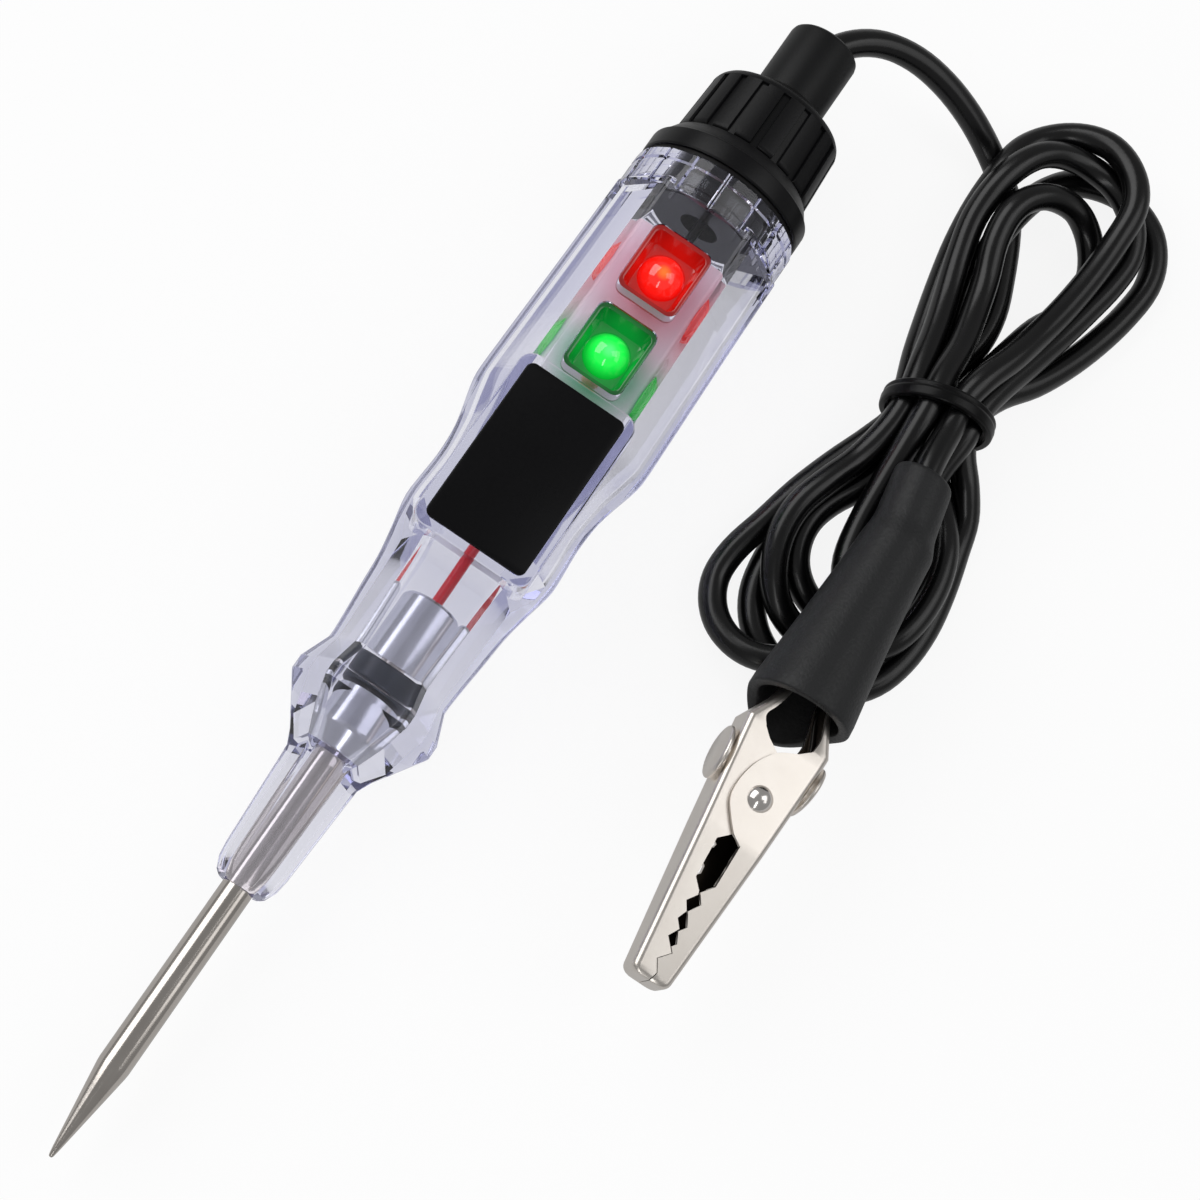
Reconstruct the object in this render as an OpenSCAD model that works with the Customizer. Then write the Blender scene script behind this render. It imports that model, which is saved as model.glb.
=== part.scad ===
// Voltage test pen: a steel probe in a clear six-sided handle with a red and a green lamp,
// a ribbed screw cap, and a black lead that is tied in a hank and ends in an alligator clip.
// The pen lies on its handle and guard with its point towards -X, its lamps up.
// The origin is on the floor below the middle of the pen.
// Pieces of the pen are drawn along the pen's own axis, +X from the point to the cap.
// Pieces of the clip are drawn along the clip's own axis, +X from the jaw tips to the boot.

/* [Probe] */
// Diameter of the steel rod
rod_d = 3.4; // [3:0.1:4]
// Length of the pointed cone at the tip
point_len = 10.3; // [6:0.1:14]
// Flat at the very tip of the point
point_flat_d = 0.5; // [0.2:0.1:0.8]
// Length of the rod that stands out of the nose
rod_out = 31.4; // [26:0.1:36]
// Depth of the shoulder on the rod, which stops it at the nose
rod_shoulder = 0.3; // [0.25:0.05:0.4]

/* [Handle] */
// Length of the tapered nose, from its rounded end to the guard
nose_len = 14.7; // [12:0.1:18]
// Width across the corners of the nose where the guard begins
nose_w = 8.4; // [7.6:0.1:9]
// Length of the guard, from the nose to the neck
guard_len = 11.6; // [10:0.1:14]
// Width across the corners of the guard at its peak
guard_w = 16.8; // [15:0.1:18]
// Length of the grip, from the guard to the handle's thickest place
grip_len = 32.6; // [29:0.1:38]
// Length of the lamp chamber, from the thickest place to the handle's end
chamber_len = 30.1; // [28:0.1:36]
// Width across the corners of the handle at its thickest
bulge_w = 21; // [20:0.1:23]
// Radius on the six long corners
corner_r = 0.8; // [0.4:0.1:1.2]
// Length of the faceted collar at the cap end of the handle
collar_len = 4.5; // [3:0.1:6]
// Width of the faceted collar across its corners
collar_d = 19.9; // [19:0.1:21]
// Number of flats round the collar
collar_sides = 16; // [14:2:24]
// Diameter of the chamber for the board
chamber_d = 13; // [12:0.1:13.4]
// Diameter of the narrow bore behind the guard
throat_d = 7.4; // [7:0.1:8]

/* [Label and lamps] */
// Length of the black plate
label_len = 19.7; // [16:0.1:20.4]
// Width of the black plate
label_w = 11.9; // [9:0.1:12.4]
// Thickness of the black plate
label_t = 0.4; // [0.3:0.05:0.6]
// Rim of the raised pad round the black plate
pad_rim = 1.05; // [0.8:0.05:1.2]
// Height of the raised pad above the middle of the pen
pad_h = 9.5; // [9.3:0.05:9.8]
// Length of a lamp window along the pen
window_len = 8.4; // [7.6:0.1:8.8]
// Width of a lamp window
window_w = 7.2; // [6.4:0.1:7.6]
// Clear bridge between the two windows
window_gap = 2.1; // [1.6:0.1:2.6]
// Depth of a window's coloured cup
cup_depth = 3.2; // [2.6:0.1:3.4]
// Wall of a cup at its mouth
cup_wall = 0.5; // [0.4:0.05:0.7]
// Diameter of a lamp
lamp_d = 5; // [4.6:0.1:5]
// Width of the circuit board
board_w = 10.4; // [9:0.1:11.6]
// Thickness of the circuit board
board_t = 1.2; // [0.8:0.1:1.6]

/* [Cap] */
// How much narrower the cap's flange is than the collar
flange_step = 0.3; // [0.1:0.1:0.6]
// Thickness of the cap's flange
flange_t = 2.7; // [2:0.1:3.4]
// Diameter of the ribbed drum at the flange
drum_d = 16.6; // [15:0.1:18]
// Length of the ribbed drum with its rounded end
drum_len = 9.9; // [8:0.1:12]
// Number of ribs round the drum
rib_n = 18; // [12:1:24]
// Depth of the grooves between the ribs
groove_depth = 0.35; // [0.2:0.05:0.5]
// Outer diameter of the soft sleeve
sleeve_d = 8.3; // [7.6:0.1:9]
// Length of the sleeve outside the cap
sleeve_out = 8.5; // [6:0.1:11]
// Thickness of the gasket between handle and cap
gasket_t = 0.6; // [0.4:0.1:1]

/* [Lead] */
// Diameter of the lead
lead_d = 3.1; // [2.6:0.1:3.1]
// Height of the hank on the floor, two layers of lead
hank_h = 6.1; // [5.2:0.1:6.2]
// Inner diameter of the tie round the hank
tie_in_d = 11.3; // [11:0.1:12.4]
// Thickness of the tie's band
tie_t = 0.8; // [0.6:0.1:1.2]
// Width of the tie's band
tie_w = 1.6; // [1.2:0.1:2.4]

/* [Clip] */
// Thickness of the clip's sheet steel
sheet_t = 0.5; // [0.4:0.05:0.6]
// Half width of a jaw at its tip
tip_half_w = 1.9; // [1.6:0.1:2.2]
// Half width of the fixed jaw at the pivot, outside
pivot_half_w = 2.5; // [2.4:0.1:2.6]
// Running gap between the side plates of the two jaws
plate_gap = 0.05; // [0.03:0.01:0.08]
// Diameter of the rivet's shank
rivet_d = 2; // [1.6:0.1:2.2]
// Running clearance round the rivet
rivet_clear = 0.03; // [0.02:0.01:0.05]
// Diameter of the rivet's domed head
rivet_head_d = 2.5; // [2.4:0.1:3]
// Diameter of the flat screw head on each jaw's back
screw_head_d = 6; // [5:0.1:6.4]
// Diameter of the screw's shank
screw_d = 2.4; // [2:0.1:2.6]
// Radius of the boot at its mouth
boot_mouth_r = 5.85; // [5.6:0.05:6.2]
// Wall of the boot
boot_wall = 1.3; // [1.1:0.05:1.35]

/* [Hidden] */
$fn = 64;
fit = 0.02;

// Places along the pen, from the point
shoulder_len = 1.5;
nose_x = rod_out;
guard_x = nose_x + nose_len;
guard_peak_x = guard_x + 0.61 * guard_len;
grip_x = guard_x + guard_len;
bulge_x = grip_x + grip_len;
handle_end = bulge_x + chamber_len;
collar_x = handle_end - collar_len;
cap_x = handle_end + gasket_t;
drum_x = cap_x + flange_t + shoulder_len;
drum_end = drum_x + drum_len;
pen_end = drum_end + sleeve_out;

// Half widths across the corners
rod_r = rod_d / 2;
rod_in_r = rod_r - rod_shoulder;
nose_r = nose_w / 2;
guard_r = guard_w / 2;
bulge_r = bulge_w / 2;
hex_flat = cos(30);
bulge_flat = hex_flat * bulge_r;
guard_flat = hex_flat * guard_r;

// The pen rests on the lowest flats of the bulge and the guard, so its point hangs a little
lie_tilt = atan((bulge_flat - guard_flat) / (bulge_x - guard_peak_x));
lie_z = bulge_flat * cos(lie_tilt) - bulge_x * sin(lie_tilt);
lie_x = -(pen_end * cos(lie_tilt) + sleeve_d / 2 * sin(lie_tilt)) / 2;

// Bores of the handle
throat_in = 4.7;
throat_x = guard_x + throat_in;
throat_r = throat_d / 2;
seat_len = 3;
chamber_r = chamber_d / 2;

// Pad, label and windows
pad_len = label_len + 2 * pad_rim;
pad_w = label_w + 2 * pad_rim;
pad_r = 1.7;
label_r = 0.9;
pad_past_bulge = 1.9;
pad_end = bulge_x + pad_past_bulge;
pad_x = pad_end - pad_len;
chamber_under_pad = 2.6;
chamber_x = pad_x + chamber_under_pad;
window_from_pad = 0.8;
window_first_x = pad_end + window_from_pad + window_len / 2;
window_xs = [window_first_x, window_first_x + window_len + window_gap];
window_top = hex_flat * (bulge_r - 0.12);
cup_bottom = window_top - cup_depth;
cup_r = 1.1;

// Board and lamps
board_top = 2.2;
board_gap = 3;
board_x = chamber_x + board_gap;
lamp_top = window_top - 1.4;
lamp_foot = 0.35;
lamp_foot_h = 0.9;
wire_r = 0.55;
wire_on = 2.5;
wire_x = window_xs[1] + lamp_d / 2 + lamp_foot + 0.4;
board_end = wire_x + wire_on;
resistor_r = 1;
resistor_len = 5;
resistor_cap = 1.3;
resistor_xs = [board_x + wire_on + 1.5, board_x + wire_on + resistor_len + 3.5];

// Parts on the rod inside the handle
ferrule_r = throat_r - 0.3;
ferrule_len = 2.4;
ferrule_in = 0.6;
ferrule_gap = 0.1;
ferrule_nose_r = rod_in_r + (throat_r - rod_in_r) * ferrule_in / seat_len - ferrule_gap;
ring_x = throat_x + 4;
ring_len = 2.7;
barrel_x = ring_x + ring_len + 1.7;
barrel_len = 6.9;
barrel_r = 3.15;
rod_in = 3;

// Cap and sleeve
flange_r = (collar_d - flange_step) / 2;
drum_r = drum_d / 2;
spigot_len = 4;
spigot_r = chamber_r - 0.05;
cap_bore_r = 2.3;
sleeve_r = sleeve_d / 2;
sleeve_flange_r = sleeve_r + 1.05;
sleeve_flange_t = 1.5;
sleeve_x = drum_end - 3.6;
sleeve_bore_r = lead_d / 2 + 0.05;
flare_len = 4.6;
flare_r = sleeve_r - 0.75;

// Where the lead starts behind the sleeve, and its route from there to the hank, chosen by eye
lead_in = 3;
tail_route = concat([pen_point(sleeve_x - lead_in), pen_point(sleeve_x + 2), pen_point(pen_end - 4)],
                    [[69.5, -0.1, 11.6], [71.9, -0.7, 11.7], [74.2, -2.1, 11.5],
                     [76.2, -4.4, 10.9], [77.8, -7.4, 9.8], [78.8, -10.8, 8.3], [79, -14.5, 6.5],
                     [78.6, -18, 4.7], [77.8, -21.2, 3.1], [77.4, -23.6, 2.3]]);

// The hank: two loops either side of the tie
tie_at = [45, -32.6];
tie_turn = 11.6;
tie_in_r = tie_in_d / 2;
tie_out_r = tie_in_r + tie_t;
bundle_r = tie_in_r - fit;
hank_top = [[74, -33.2, 12.2], [47.5, -32.2, 5]];
hank_low = [[20.5, -33.7, 12.1], [42.5, -33, 5]];
eye_top = [[73.6, -33, 3.6], [61.5, -33.8, 0.8]];
eye_low = [[23, -32.6, 3], [34, -33, 1]];

// The clip lies with its boot on the hank, turned and rolled a little
boot_x = 32.5;
clip_side = 0.6;
clip_roll = 9;
clip_turn = 2.7;
clip_at = [-26.5, -38.9, hank_h + boot_mouth_r + fit - clip_side * sin(clip_roll)];
pivot = [21.5, -0.35];
moving_half_w = pivot_half_w + plate_gap + sheet_t;
tail_half_w = 2.2;
fold_r = 0.45;
tip_r = 0.9;
rivet_r = rivet_d / 2;
screw_r = screw_d / 2;
screw_lift = 0.35;
screw_head_t = 0.5;
screw_neck_r = 1.9;
fixed_screw_x = 24.2;
moving_screw_x = 25.8;
nut_flats = 3.6;
nut_t = 1.1;
screw_over = 0.3;
wire_d = 0.6;
coil_r = 1.75;
coil_turns = 3;
coil_steps = 12;
leg_x = [26, 30, 36];
crimp_x = 44;
crimp_len = 6;
crimp_r = 2;
crimp_y = 0.05;

// Edge and back of each jaw seen from the side; the moving jaw's are measured downwards
fixed_edge = [[0, 0.05], [1.05, -0.25], [2.3, 0.5], [3.5, -0.55], [4.8, 0.65], [5.95, 0],
              [6.8, 0.72], [7.85, 0.28], [8.8, 0.88], [9.9, 0.1], [10.3, 0.25], [11.3, 1.25],
              [15.8, 1.4], [16.9, 0.3], [18, -0.9], [19.5, -1.55], [21.3, -1.95], [22.6, -2.1],
              [24.5, -1.8], [25.7, -1.05], [26.6, 0.2], [27.6, 1.85], [28.4, 2.7], [29.5, 3.3],
              [31, 2.7], [32.9, 2.1], [34.2, 2], [45, 2], [48, 2]];
moving_edge = [[0, 0.03], [1.05, 0.33], [2.3, -0.42], [3.5, 0.63], [4, 0.17], [4.5, 0.55],
               [5.65, -0.02], [6.45, 0.58], [7.85, -0.2], [9.1, 0.62], [10.1, -0.1], [11.4, 0.95],
               [16.2, 1], [16.9, -0.2], [18.2, -1.3], [19.9, -2.4], [21.8, -2.55], [24.2, -2],
               [25.6, -1.25], [26.6, -0.45], [27.7, 1.5], [28.8, 2.75], [30.4, 2.95],
               [32.9, 2.35], [34.2, 2], [42, 2]];
fixed_back = [[0, 2.25], [28.8, 4.95], [32.4, 3], [33.6, 2.65], [48, 2.55]];
moving_back = [[0, 2.25], [29.2, 4.75], [32.9, 3.1], [34, 2.65], [42, 2.6]];
tip_steps = [0.08, 0.3, 0.6];

// Grip: place as a share of its length, and how far it lies inside the thickest place
grip_form = [[0.205, 2.93], [0.3, 2.7], [0.36, 2.4], [0.43, 1.95], [0.49, 1.53], [0.53, 1.37],
             [0.59, 1.45], [0.69, 1.63], [0.79, 1.45], [0.855, 1.01], [0.92, 0.45], [0.96, 0.15]];

// Width across the corners along the handle, as half widths at places from the point
hex_stations = [
    [nose_x, 0.6 * nose_r], [nose_x + 0.4, 0.74 * nose_r], [nose_x + 1.3, 0.82 * nose_r],
    [nose_x + 3, 0.865 * nose_r], [guard_x - 0.6, nose_r], [guard_x + 0.8, nose_r + 0.25],
    [guard_x + 2.6, nose_r + 1.05], [guard_x + 4.6, nose_r + 2.4],
    [guard_peak_x - 1, guard_r - 0.55], [guard_peak_x - 0.2, guard_r - 0.08],
    [guard_peak_x + 0.6, guard_r], [guard_peak_x + 1.4, guard_r - 0.18],
    [grip_x, guard_r - 1.3], [grip_x + 1, guard_r - 1.32],
    each [for (g = grip_form) [grip_x + g[0] * grip_len, bulge_r - g[1]]],
    [bulge_x, bulge_r], [bulge_x + 4, bulge_r - 0.04], [collar_x + 1, bulge_r - 0.38]];

// Boot: place along the clip, outer radius, sideways offset of its middle
boot_mid = [42.5, boot_mouth_r - 0.95, -0.15];
boot_fork = [54.2, boot_mouth_r - 1.87, -0.45];
boot_stations = [[boot_x, boot_mouth_r, 0], boot_mid, [52.5, boot_mouth_r - 1.75, -0.4], boot_fork,
                 [55, 3.75, -0.36], [55.8, 3.53, -0.2], [60, 3.4, 0.4], [61.6, 3.32, 0.62],
                 [62, 3.05, 0.68]];
neck_bore_r = lead_d / 2 + 0.06;
neck_x = 55.2;
neck_y = -0.3;
boot_end = boot_stations[len(boot_stations) - 1];

// Route of the lead from the crimp in the boot to the tie
neck_mid = [(neck_x + boot_end[0]) / 2, (neck_y + boot_end[2]) / 2];
crimp_end = crimp_x + crimp_len;
in_boot = [[crimp_end, crimp_y], [crimp_end + 0.8, crimp_y], [neck_x - 2.4, neck_y - 0.02],
           [neck_x, neck_y], neck_mid, [boot_end[0], boot_end[2]]];
end_route = concat([for (p = in_boot) clip_point([p[0], p[1], 0])],
                   [[37.6, -34.4, 11.8], [40, -34.1, 11], [42.5, -33.7, 10.3]]);

// Joins rings of equally many points into one solid with flat ends
module loft(rings) {
    m = len(rings);
    n = len(rings[0]);
    sides = [for (i = [0:m - 2], j = [0:n - 1])
        let (k = (j + 1) % n)
        each [[i * n + j, (i + 1) * n + j, (i + 1) * n + k], [i * n + j, (i + 1) * n + k, i * n + k]]];
    ends = [[for (j = [0:n - 1]) j], [for (j = [0:n - 1]) m * n - 1 - j]];
    polyhedron(points = [for (r = rings) each r], faces = concat(sides, ends), convexity = 6);
}

// Joins rings into one closed skin that turns back on itself, such as a tube with a wall
module loft_loop(rings) {
    m = len(rings);
    n = len(rings[0]);
    sides = [for (i = [0:m - 1], j = [0:n - 1])
        let (k = (j + 1) % n, h = (i + 1) % m)
        each [[i * n + j, h * n + j, h * n + k], [i * n + j, h * n + k, i * n + k]]];
    polyhedron(points = [for (r = rings) each r], faces = sides, convexity = 6);
}

function unit(v) = v / norm(v);

// Where a place along the pen's axis comes to lie
function pen_point(x) = [lie_x + x * cos(lie_tilt), 0, lie_z + x * sin(lie_tilt)];

// Where a point of the clip comes to lie
function clip_point(p) =
    let (y = p[1] + clip_side,
         q = [p[0], y * cos(clip_roll) - p[2] * sin(clip_roll), y * sin(clip_roll) + p[2] * cos(clip_roll)])
    clip_at + [q[0] * cos(clip_turn) - q[1] * sin(clip_turn),
               q[0] * sin(clip_turn) + q[1] * cos(clip_turn), q[2]];

// Six-sided ring with rounded corners and flats at the top and bottom
function hex_ring(x, r, fillet) =
    let (mid = r - fillet)
    [for (a = [0:60:300], b = [-30:30:30])
        [x, mid * cos(a) + fillet * cos(a + b), mid * sin(a) + fillet * sin(a + b)]];

function round_ring(x, y, r, n) =
    [for (a = [0:360 / n:359]) [x, y + r * cos(a), r * sin(a)]];

// Rings of a round tube along a route, square to the route at each point
function tube_rings(route, r, n) =
    [for (i = [0:len(route) - 1])
        let (a = route[max(i - 1, 0)], b = route[min(i + 1, len(route) - 1)],
             t = unit(b - a),
             side = unit(cross([0, 0, 1], t)),
             rise = cross(t, side))
        [for (k = [0:n - 1]) route[i] + r * (cos(360 * k / n) * side + sin(360 * k / n) * rise)]];

// Lays what is drawn along the pen's axis down on the floor
module lying() {
    translate([lie_x, 0, lie_z]) rotate([0, -lie_tilt, 0]) children();
}

// Puts what is drawn along the clip's axis where the clip lies
module clipped() {
    translate(clip_at) rotate([0, 0, clip_turn]) rotate([clip_roll, 0, 0])
        translate([0, clip_side, 0]) children();
}

// Turns a profile of radius and length about the pen's axis
module turned() {
    rotate([0, 90, 0]) rotate_extrude() children();
}

module rod_along(x0, x1, r) {
    translate([x0, 0, 0]) rotate([0, 90, 0]) cylinder(h = x1 - x0, r = r);
}

module rounded_plate(x, len, width, r, z0, z1) {
    translate([x, 0, z0]) linear_extrude(z1 - z0)
        translate([r, -width / 2 + r]) offset(r) square([len - 2 * r, width - 2 * r]);
}

module handle_outside() {
    loft([for (s = hex_stations) hex_ring(s[0], s[1], min(corner_r, 0.2 * s[1]))]);
    translate([collar_x, 0, 0]) rotate([0, 90, 0]) linear_extrude(collar_len)
        polygon([for (i = [0:collar_sides - 1])
            let (a = 360 / collar_sides * (i + 0.5))
            [-collar_d / 2 * cos(a), collar_d / 2 * sin(a)]]);
    rounded_plate(pad_x, pad_len, pad_w, pad_r, 3, pad_h);
}

module handle_shell() {
    color([0.9, 0.92, 0.97, 0.35]) lying() difference() {
        handle_outside();
        rod_along(nose_x - 1, throat_x, rod_in_r + fit);
        turned() polygon([[0, throat_x - seat_len], [rod_in_r, throat_x - seat_len],
                          [throat_r, throat_x], [throat_r, chamber_x + 1], [0, chamber_x + 1]]);
        rod_along(chamber_x, handle_end + 1, chamber_r);
        rounded_plate(pad_x + pad_rim, label_len, label_w, label_r, pad_h - label_t / 2, pad_h + 1);
        for (x = window_xs)
            rounded_plate(x - window_len / 2, window_len, window_w, cup_r, 2, window_top + 2);
    }
}

module label_plate() {
    color([0.06, 0.06, 0.065]) lying()
        rounded_plate(pad_x + pad_rim + fit, label_len - 2 * fit, label_w - 2 * fit, label_r,
                      pad_h - label_t / 2, pad_h + label_t / 2);
}

// Coloured cup under a window: sloped inside, with a hole for the lamp
module window_cup(x) {
    top = window_top - 0.15;
    inner_len = window_len - 2 * cup_wall;
    inner_w = window_w - 2 * cup_wall;
    lying() difference() {
        rounded_plate(x - window_len / 2 + fit, window_len - 2 * fit, window_w - 2 * fit, cup_r,
                      cup_bottom, top);
        translate([x, 0, cup_bottom + 0.6])
            linear_extrude(top - cup_bottom, scale = [1.18, 1.12])
                square([inner_len / 1.18, inner_w / 1.12], center = true);
        translate([x, 0, cup_bottom - 1]) cylinder(h = 4, r = lamp_d / 2 + fit);
    }
}

module green_window() {
    color([0.1, 0.8, 0.35]) window_cup(window_xs[0]);
}

module red_window() {
    color([0.9, 0.1, 0.08]) window_cup(window_xs[1]);
}

// Round lamp with a domed top and a foot ring that stands on the board
module lamp(x) {
    r = lamp_d / 2;
    lying() translate([x, 0, board_top]) {
        cylinder(h = lamp_foot_h, r = r + lamp_foot);
        cylinder(h = lamp_top - board_top - r, r = r);
        translate([0, 0, lamp_top - board_top - r]) sphere(r = r);
    }
}

module green_lamp() {
    color([0.2, 0.95, 0.5]) lamp(window_xs[0]);
}

module red_lamp() {
    color([0.98, 0.2, 0.1]) lamp(window_xs[1]);
}

module circuit_board() {
    color([0.75, 0.78, 0.6]) lying()
        translate([board_x, -board_w / 2, board_top - board_t])
            cube([board_end - board_x, board_w, board_t]);
}

module board_resistors() {
    color([0.8, 0.72, 0.55]) lying()
        for (x = resistor_xs)
            translate([x, 0, board_top + resistor_r]) rotate([0, 90, 0]) {
                cylinder(h = resistor_len, r = resistor_r - 0.15);
                cylinder(h = resistor_cap, r = resistor_r);
                translate([0, 0, resistor_len - resistor_cap]) cylinder(h = resistor_cap, r = resistor_r);
            }
}

module probe_rod() {
    color([0.78, 0.74, 0.7]) lying() turned()
        polygon([[0, 0], [point_flat_d / 2, 0], [rod_r, point_len],
                 [rod_r, nose_x], [rod_in_r, nose_x], [rod_in_r, barrel_x + rod_in],
                 [0, barrel_x + rod_in]]);
}

module probe_ferrule() {
    color([0.8, 0.8, 0.82]) lying() difference() {
        turned() polygon([[0, throat_x - seat_len + ferrule_in],
                          [ferrule_nose_r, throat_x - seat_len + ferrule_in],
                          [ferrule_r, throat_x - ferrule_gap], [ferrule_r, throat_x + ferrule_len],
                          [0, throat_x + ferrule_len]]);
        rod_along(throat_x - seat_len, throat_x + ferrule_len + 1, rod_in_r + fit);
    }
}

module seal_ring() {
    color([0.22, 0.25, 0.32]) lying() difference() {
        rod_along(ring_x, ring_x + ring_len, throat_r - fit);
        rod_along(ring_x - 1, ring_x + ring_len + 1, rod_in_r + fit);
    }
}

module contact_barrel() {
    color([0.75, 0.75, 0.76]) lying() difference() {
        rod_along(barrel_x, barrel_x + barrel_len, barrel_r);
        rod_along(barrel_x - 1, barrel_x + rod_in, rod_in_r + fit);
    }
}

module red_wire() {
    start = barrel_x + barrel_len;
    color([0.75, 0.06, 0.08]) lying()
        loft(tube_rings([[start, 0, 0], [start + 3, 0, 0.1], [chamber_x - 0.5, 0, 0.9],
                         [board_x, 0, board_top + wire_r + 0.3],
                         [board_x + wire_on, 0, board_top + wire_r]], wire_r, 8));
}

module black_wire() {
    color([0.05, 0.05, 0.05]) lying()
        loft(tube_rings([[wire_x, 0, board_top + wire_r], [board_end, 0, board_top + wire_r],
                         [cap_x - spigot_len - 0.5, 0, 1.4], [cap_x, 0, 0.2],
                         [(cap_x + sleeve_x) / 2, 0, 0],
                         [sleeve_x - lead_in, 0, 0]], wire_r, 8));
}

module cap_gasket() {
    color([0.05, 0.05, 0.05]) lying() difference() {
        rod_along(handle_end, cap_x, collar_d / 2 - 0.4);
        rod_along(handle_end - 1, cap_x + 1, spigot_r + fit);
    }
}

module cap_body() {
    round_r = 2.2;
    slim_r = drum_r - 0.36;
    turned() difference() {
        union() {
            polygon([[cap_bore_r, cap_x - spigot_len], [spigot_r - 0.4, cap_x - spigot_len],
                     [spigot_r, cap_x - spigot_len + 0.4], [spigot_r, cap_x],
                     [flange_r, cap_x], [flange_r, cap_x + flange_t],
                     [flange_r - 0.5, cap_x + flange_t + 0.5],
                     [drum_r + 0.15, drum_x - 0.1], [drum_r, drum_x], [slim_r, drum_end - round_r],
                     [slim_r - round_r, drum_end], [cap_bore_r, drum_end]]);
            translate([slim_r - round_r, drum_end - round_r]) circle(r = round_r);
        }
        translate([0, sleeve_x - fit]) square([sleeve_flange_r + fit, sleeve_flange_t + 2 * fit]);
        translate([0, sleeve_x]) square([sleeve_r + fit, drum_end]);
    }
}

module screw_cap() {
    rib_start = drum_x + 0.3;
    color([0.06, 0.06, 0.065]) lying() difference() {
        cap_body();
        for (i = [0:rib_n - 1])
            rotate([i * 360 / rib_n, 0, 0])
                translate([rib_start, drum_r - groove_depth, -0.3])
                    cube([drum_end - rib_start + 1, 2, 0.6]);
    }
}

module cord_sleeve() {
    color([0.07, 0.07, 0.075]) lying() turned()
        polygon([[sleeve_bore_r, sleeve_x], [sleeve_flange_r, sleeve_x],
                 [sleeve_flange_r, sleeve_x + sleeve_flange_t], [sleeve_r, sleeve_x + sleeve_flange_t],
                 [sleeve_r, pen_end - 0.4], [sleeve_r - 0.4, pen_end], [flare_r, pen_end],
                 [sleeve_bore_r, pen_end - flare_len]]);
}

module lead_tail() {
    color([0.03, 0.03, 0.035]) loft(tube_rings(tail_route, lead_d / 2, 8));
}

module lead_end() {
    color([0.03, 0.03, 0.035]) loft(tube_rings(end_route, lead_d / 2, 8));
}

module drop(ends) {
    hull() for (e = ends) translate([e[0], e[1]]) circle(r = e[2], $fn = 48);
}

module lead_hank() {
    color([0.03, 0.03, 0.035]) union() {
        linear_extrude(hank_h) difference() {
            union() {
                drop(hank_top);
                drop(hank_low);
            }
            drop(eye_top);
            drop(eye_low);
            translate(tie_at) rotate(tie_turn) square([tie_w + 0.4, 3 * tie_out_r], center = true);
        }
        translate([tie_at[0], tie_at[1], tie_out_r]) rotate([0, 90, tie_turn]) rotate_extrude()
            polygon([[0, -8.5], [3.6, -8.5], [bundle_r, -3.5], [bundle_r, 3.5], [3.6, 8.5], [0, 8.5]]);
    }
}

module hank_tie() {
    r = tie_t / 2;
    color([0.08, 0.08, 0.085]) translate([tie_at[0], tie_at[1], tie_out_r]) rotate([0, 90, tie_turn])
        rotate_extrude() translate([tie_in_r + r, 0]) hull() {
            translate([0, tie_w / 2 - r]) circle(r = r, $fn = 24);
            translate([0, r - tie_w / 2]) circle(r = r, $fn = 24);
        }
}

module clip_boot() {
    n = 32;
    inner = [[boot_end[0], neck_bore_r, boot_end[2]], [neck_x, neck_bore_r, neck_y],
             [boot_fork[0], boot_fork[1] - boot_wall, boot_fork[2]],
             [boot_mid[0], boot_mid[1] - boot_wall, boot_mid[2]], [boot_x, boot_mouth_r - boot_wall, 0]];
    color([0.07, 0.07, 0.075]) clipped()
        loft_loop([for (s = concat(boot_stations, inner)) round_ring(s[0], s[2], s[1], n)]);
}

function inset(x, r) = x >= r ? 0 : r - sqrt(r * r - pow(r - x, 2));

// Outline of a jaw's folded sheet at one place along the clip
function jaw_ring(x, edge, back, w) =
    let (f = fold_r)
    concat([[x, edge, -w]],
           [for (a = [-90:30:0]) [x, back - f + f * cos(a), -w + f + f * sin(a)]],
           [for (a = [0:30:90]) [x, back - f + f * cos(a), w - f + f * sin(a)]],
           [[x, edge, w]]);

function hollow_ring(x, edge, back, w) =
    [[x, edge - 4, -w], [x, back, -w], [x, back, w], [x, edge - 4, w]];

// Width of a jaw: narrow at the tip, straight past the pivot, narrow again in the boot
function jaw_half(x, w) =
    lookup(x, [[0, tip_half_w], [16.5, w], [28, w], [33, tail_half_w], [42, tail_half_w], [48, 1.5]]);

// A jaw with its edge down; pin_y is the height of the pivot on it
module jaw(edge, back, w, pin_y) {
    far = edge[len(edge) - 1][0];
    xs = concat([0], tip_steps, [for (e = edge) if (e[0] > 0.9) e[0]]);
    difference() {
        loft([for (x = xs)
            jaw_ring(x, lookup(x, edge), lookup(x, back) - inset(x, tip_r),
                     jaw_half(x, w) - inset(x, 0.5) * 0.8)]);
        loft([for (x = concat([sheet_t + 0.05], [for (e = edge) if (e[0] > 0.9) e[0]], [far + 1]))
            hollow_ring(x, lookup(x, edge), lookup(x, back) - inset(x - sheet_t, tip_r - 0.4) - sheet_t,
                        jaw_half(x, w) - sheet_t)]);
        translate([pivot[0], pin_y, -5])
            cylinder(h = 10, r = rivet_r + rivet_clear);
    }
}

module fixed_jaw() {
    color([0.8, 0.78, 0.75]) clipped() difference() {
        jaw(fixed_edge, fixed_back, pivot_half_w, pivot[1]);
        screw_place(fixed_screw_x, 1) cylinder(h = 6, r = screw_r + fit, center = true);
    }
}

module moving_jaw() {
    color([0.8, 0.78, 0.75]) clipped() difference() {
        mirror([0, 1, 0]) jaw(moving_edge, moving_back, moving_half_w, -pivot[1]);
        screw_place(moving_screw_x, -1) cylinder(h = 6, r = screw_r + fit, center = true);
    }
}

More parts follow.
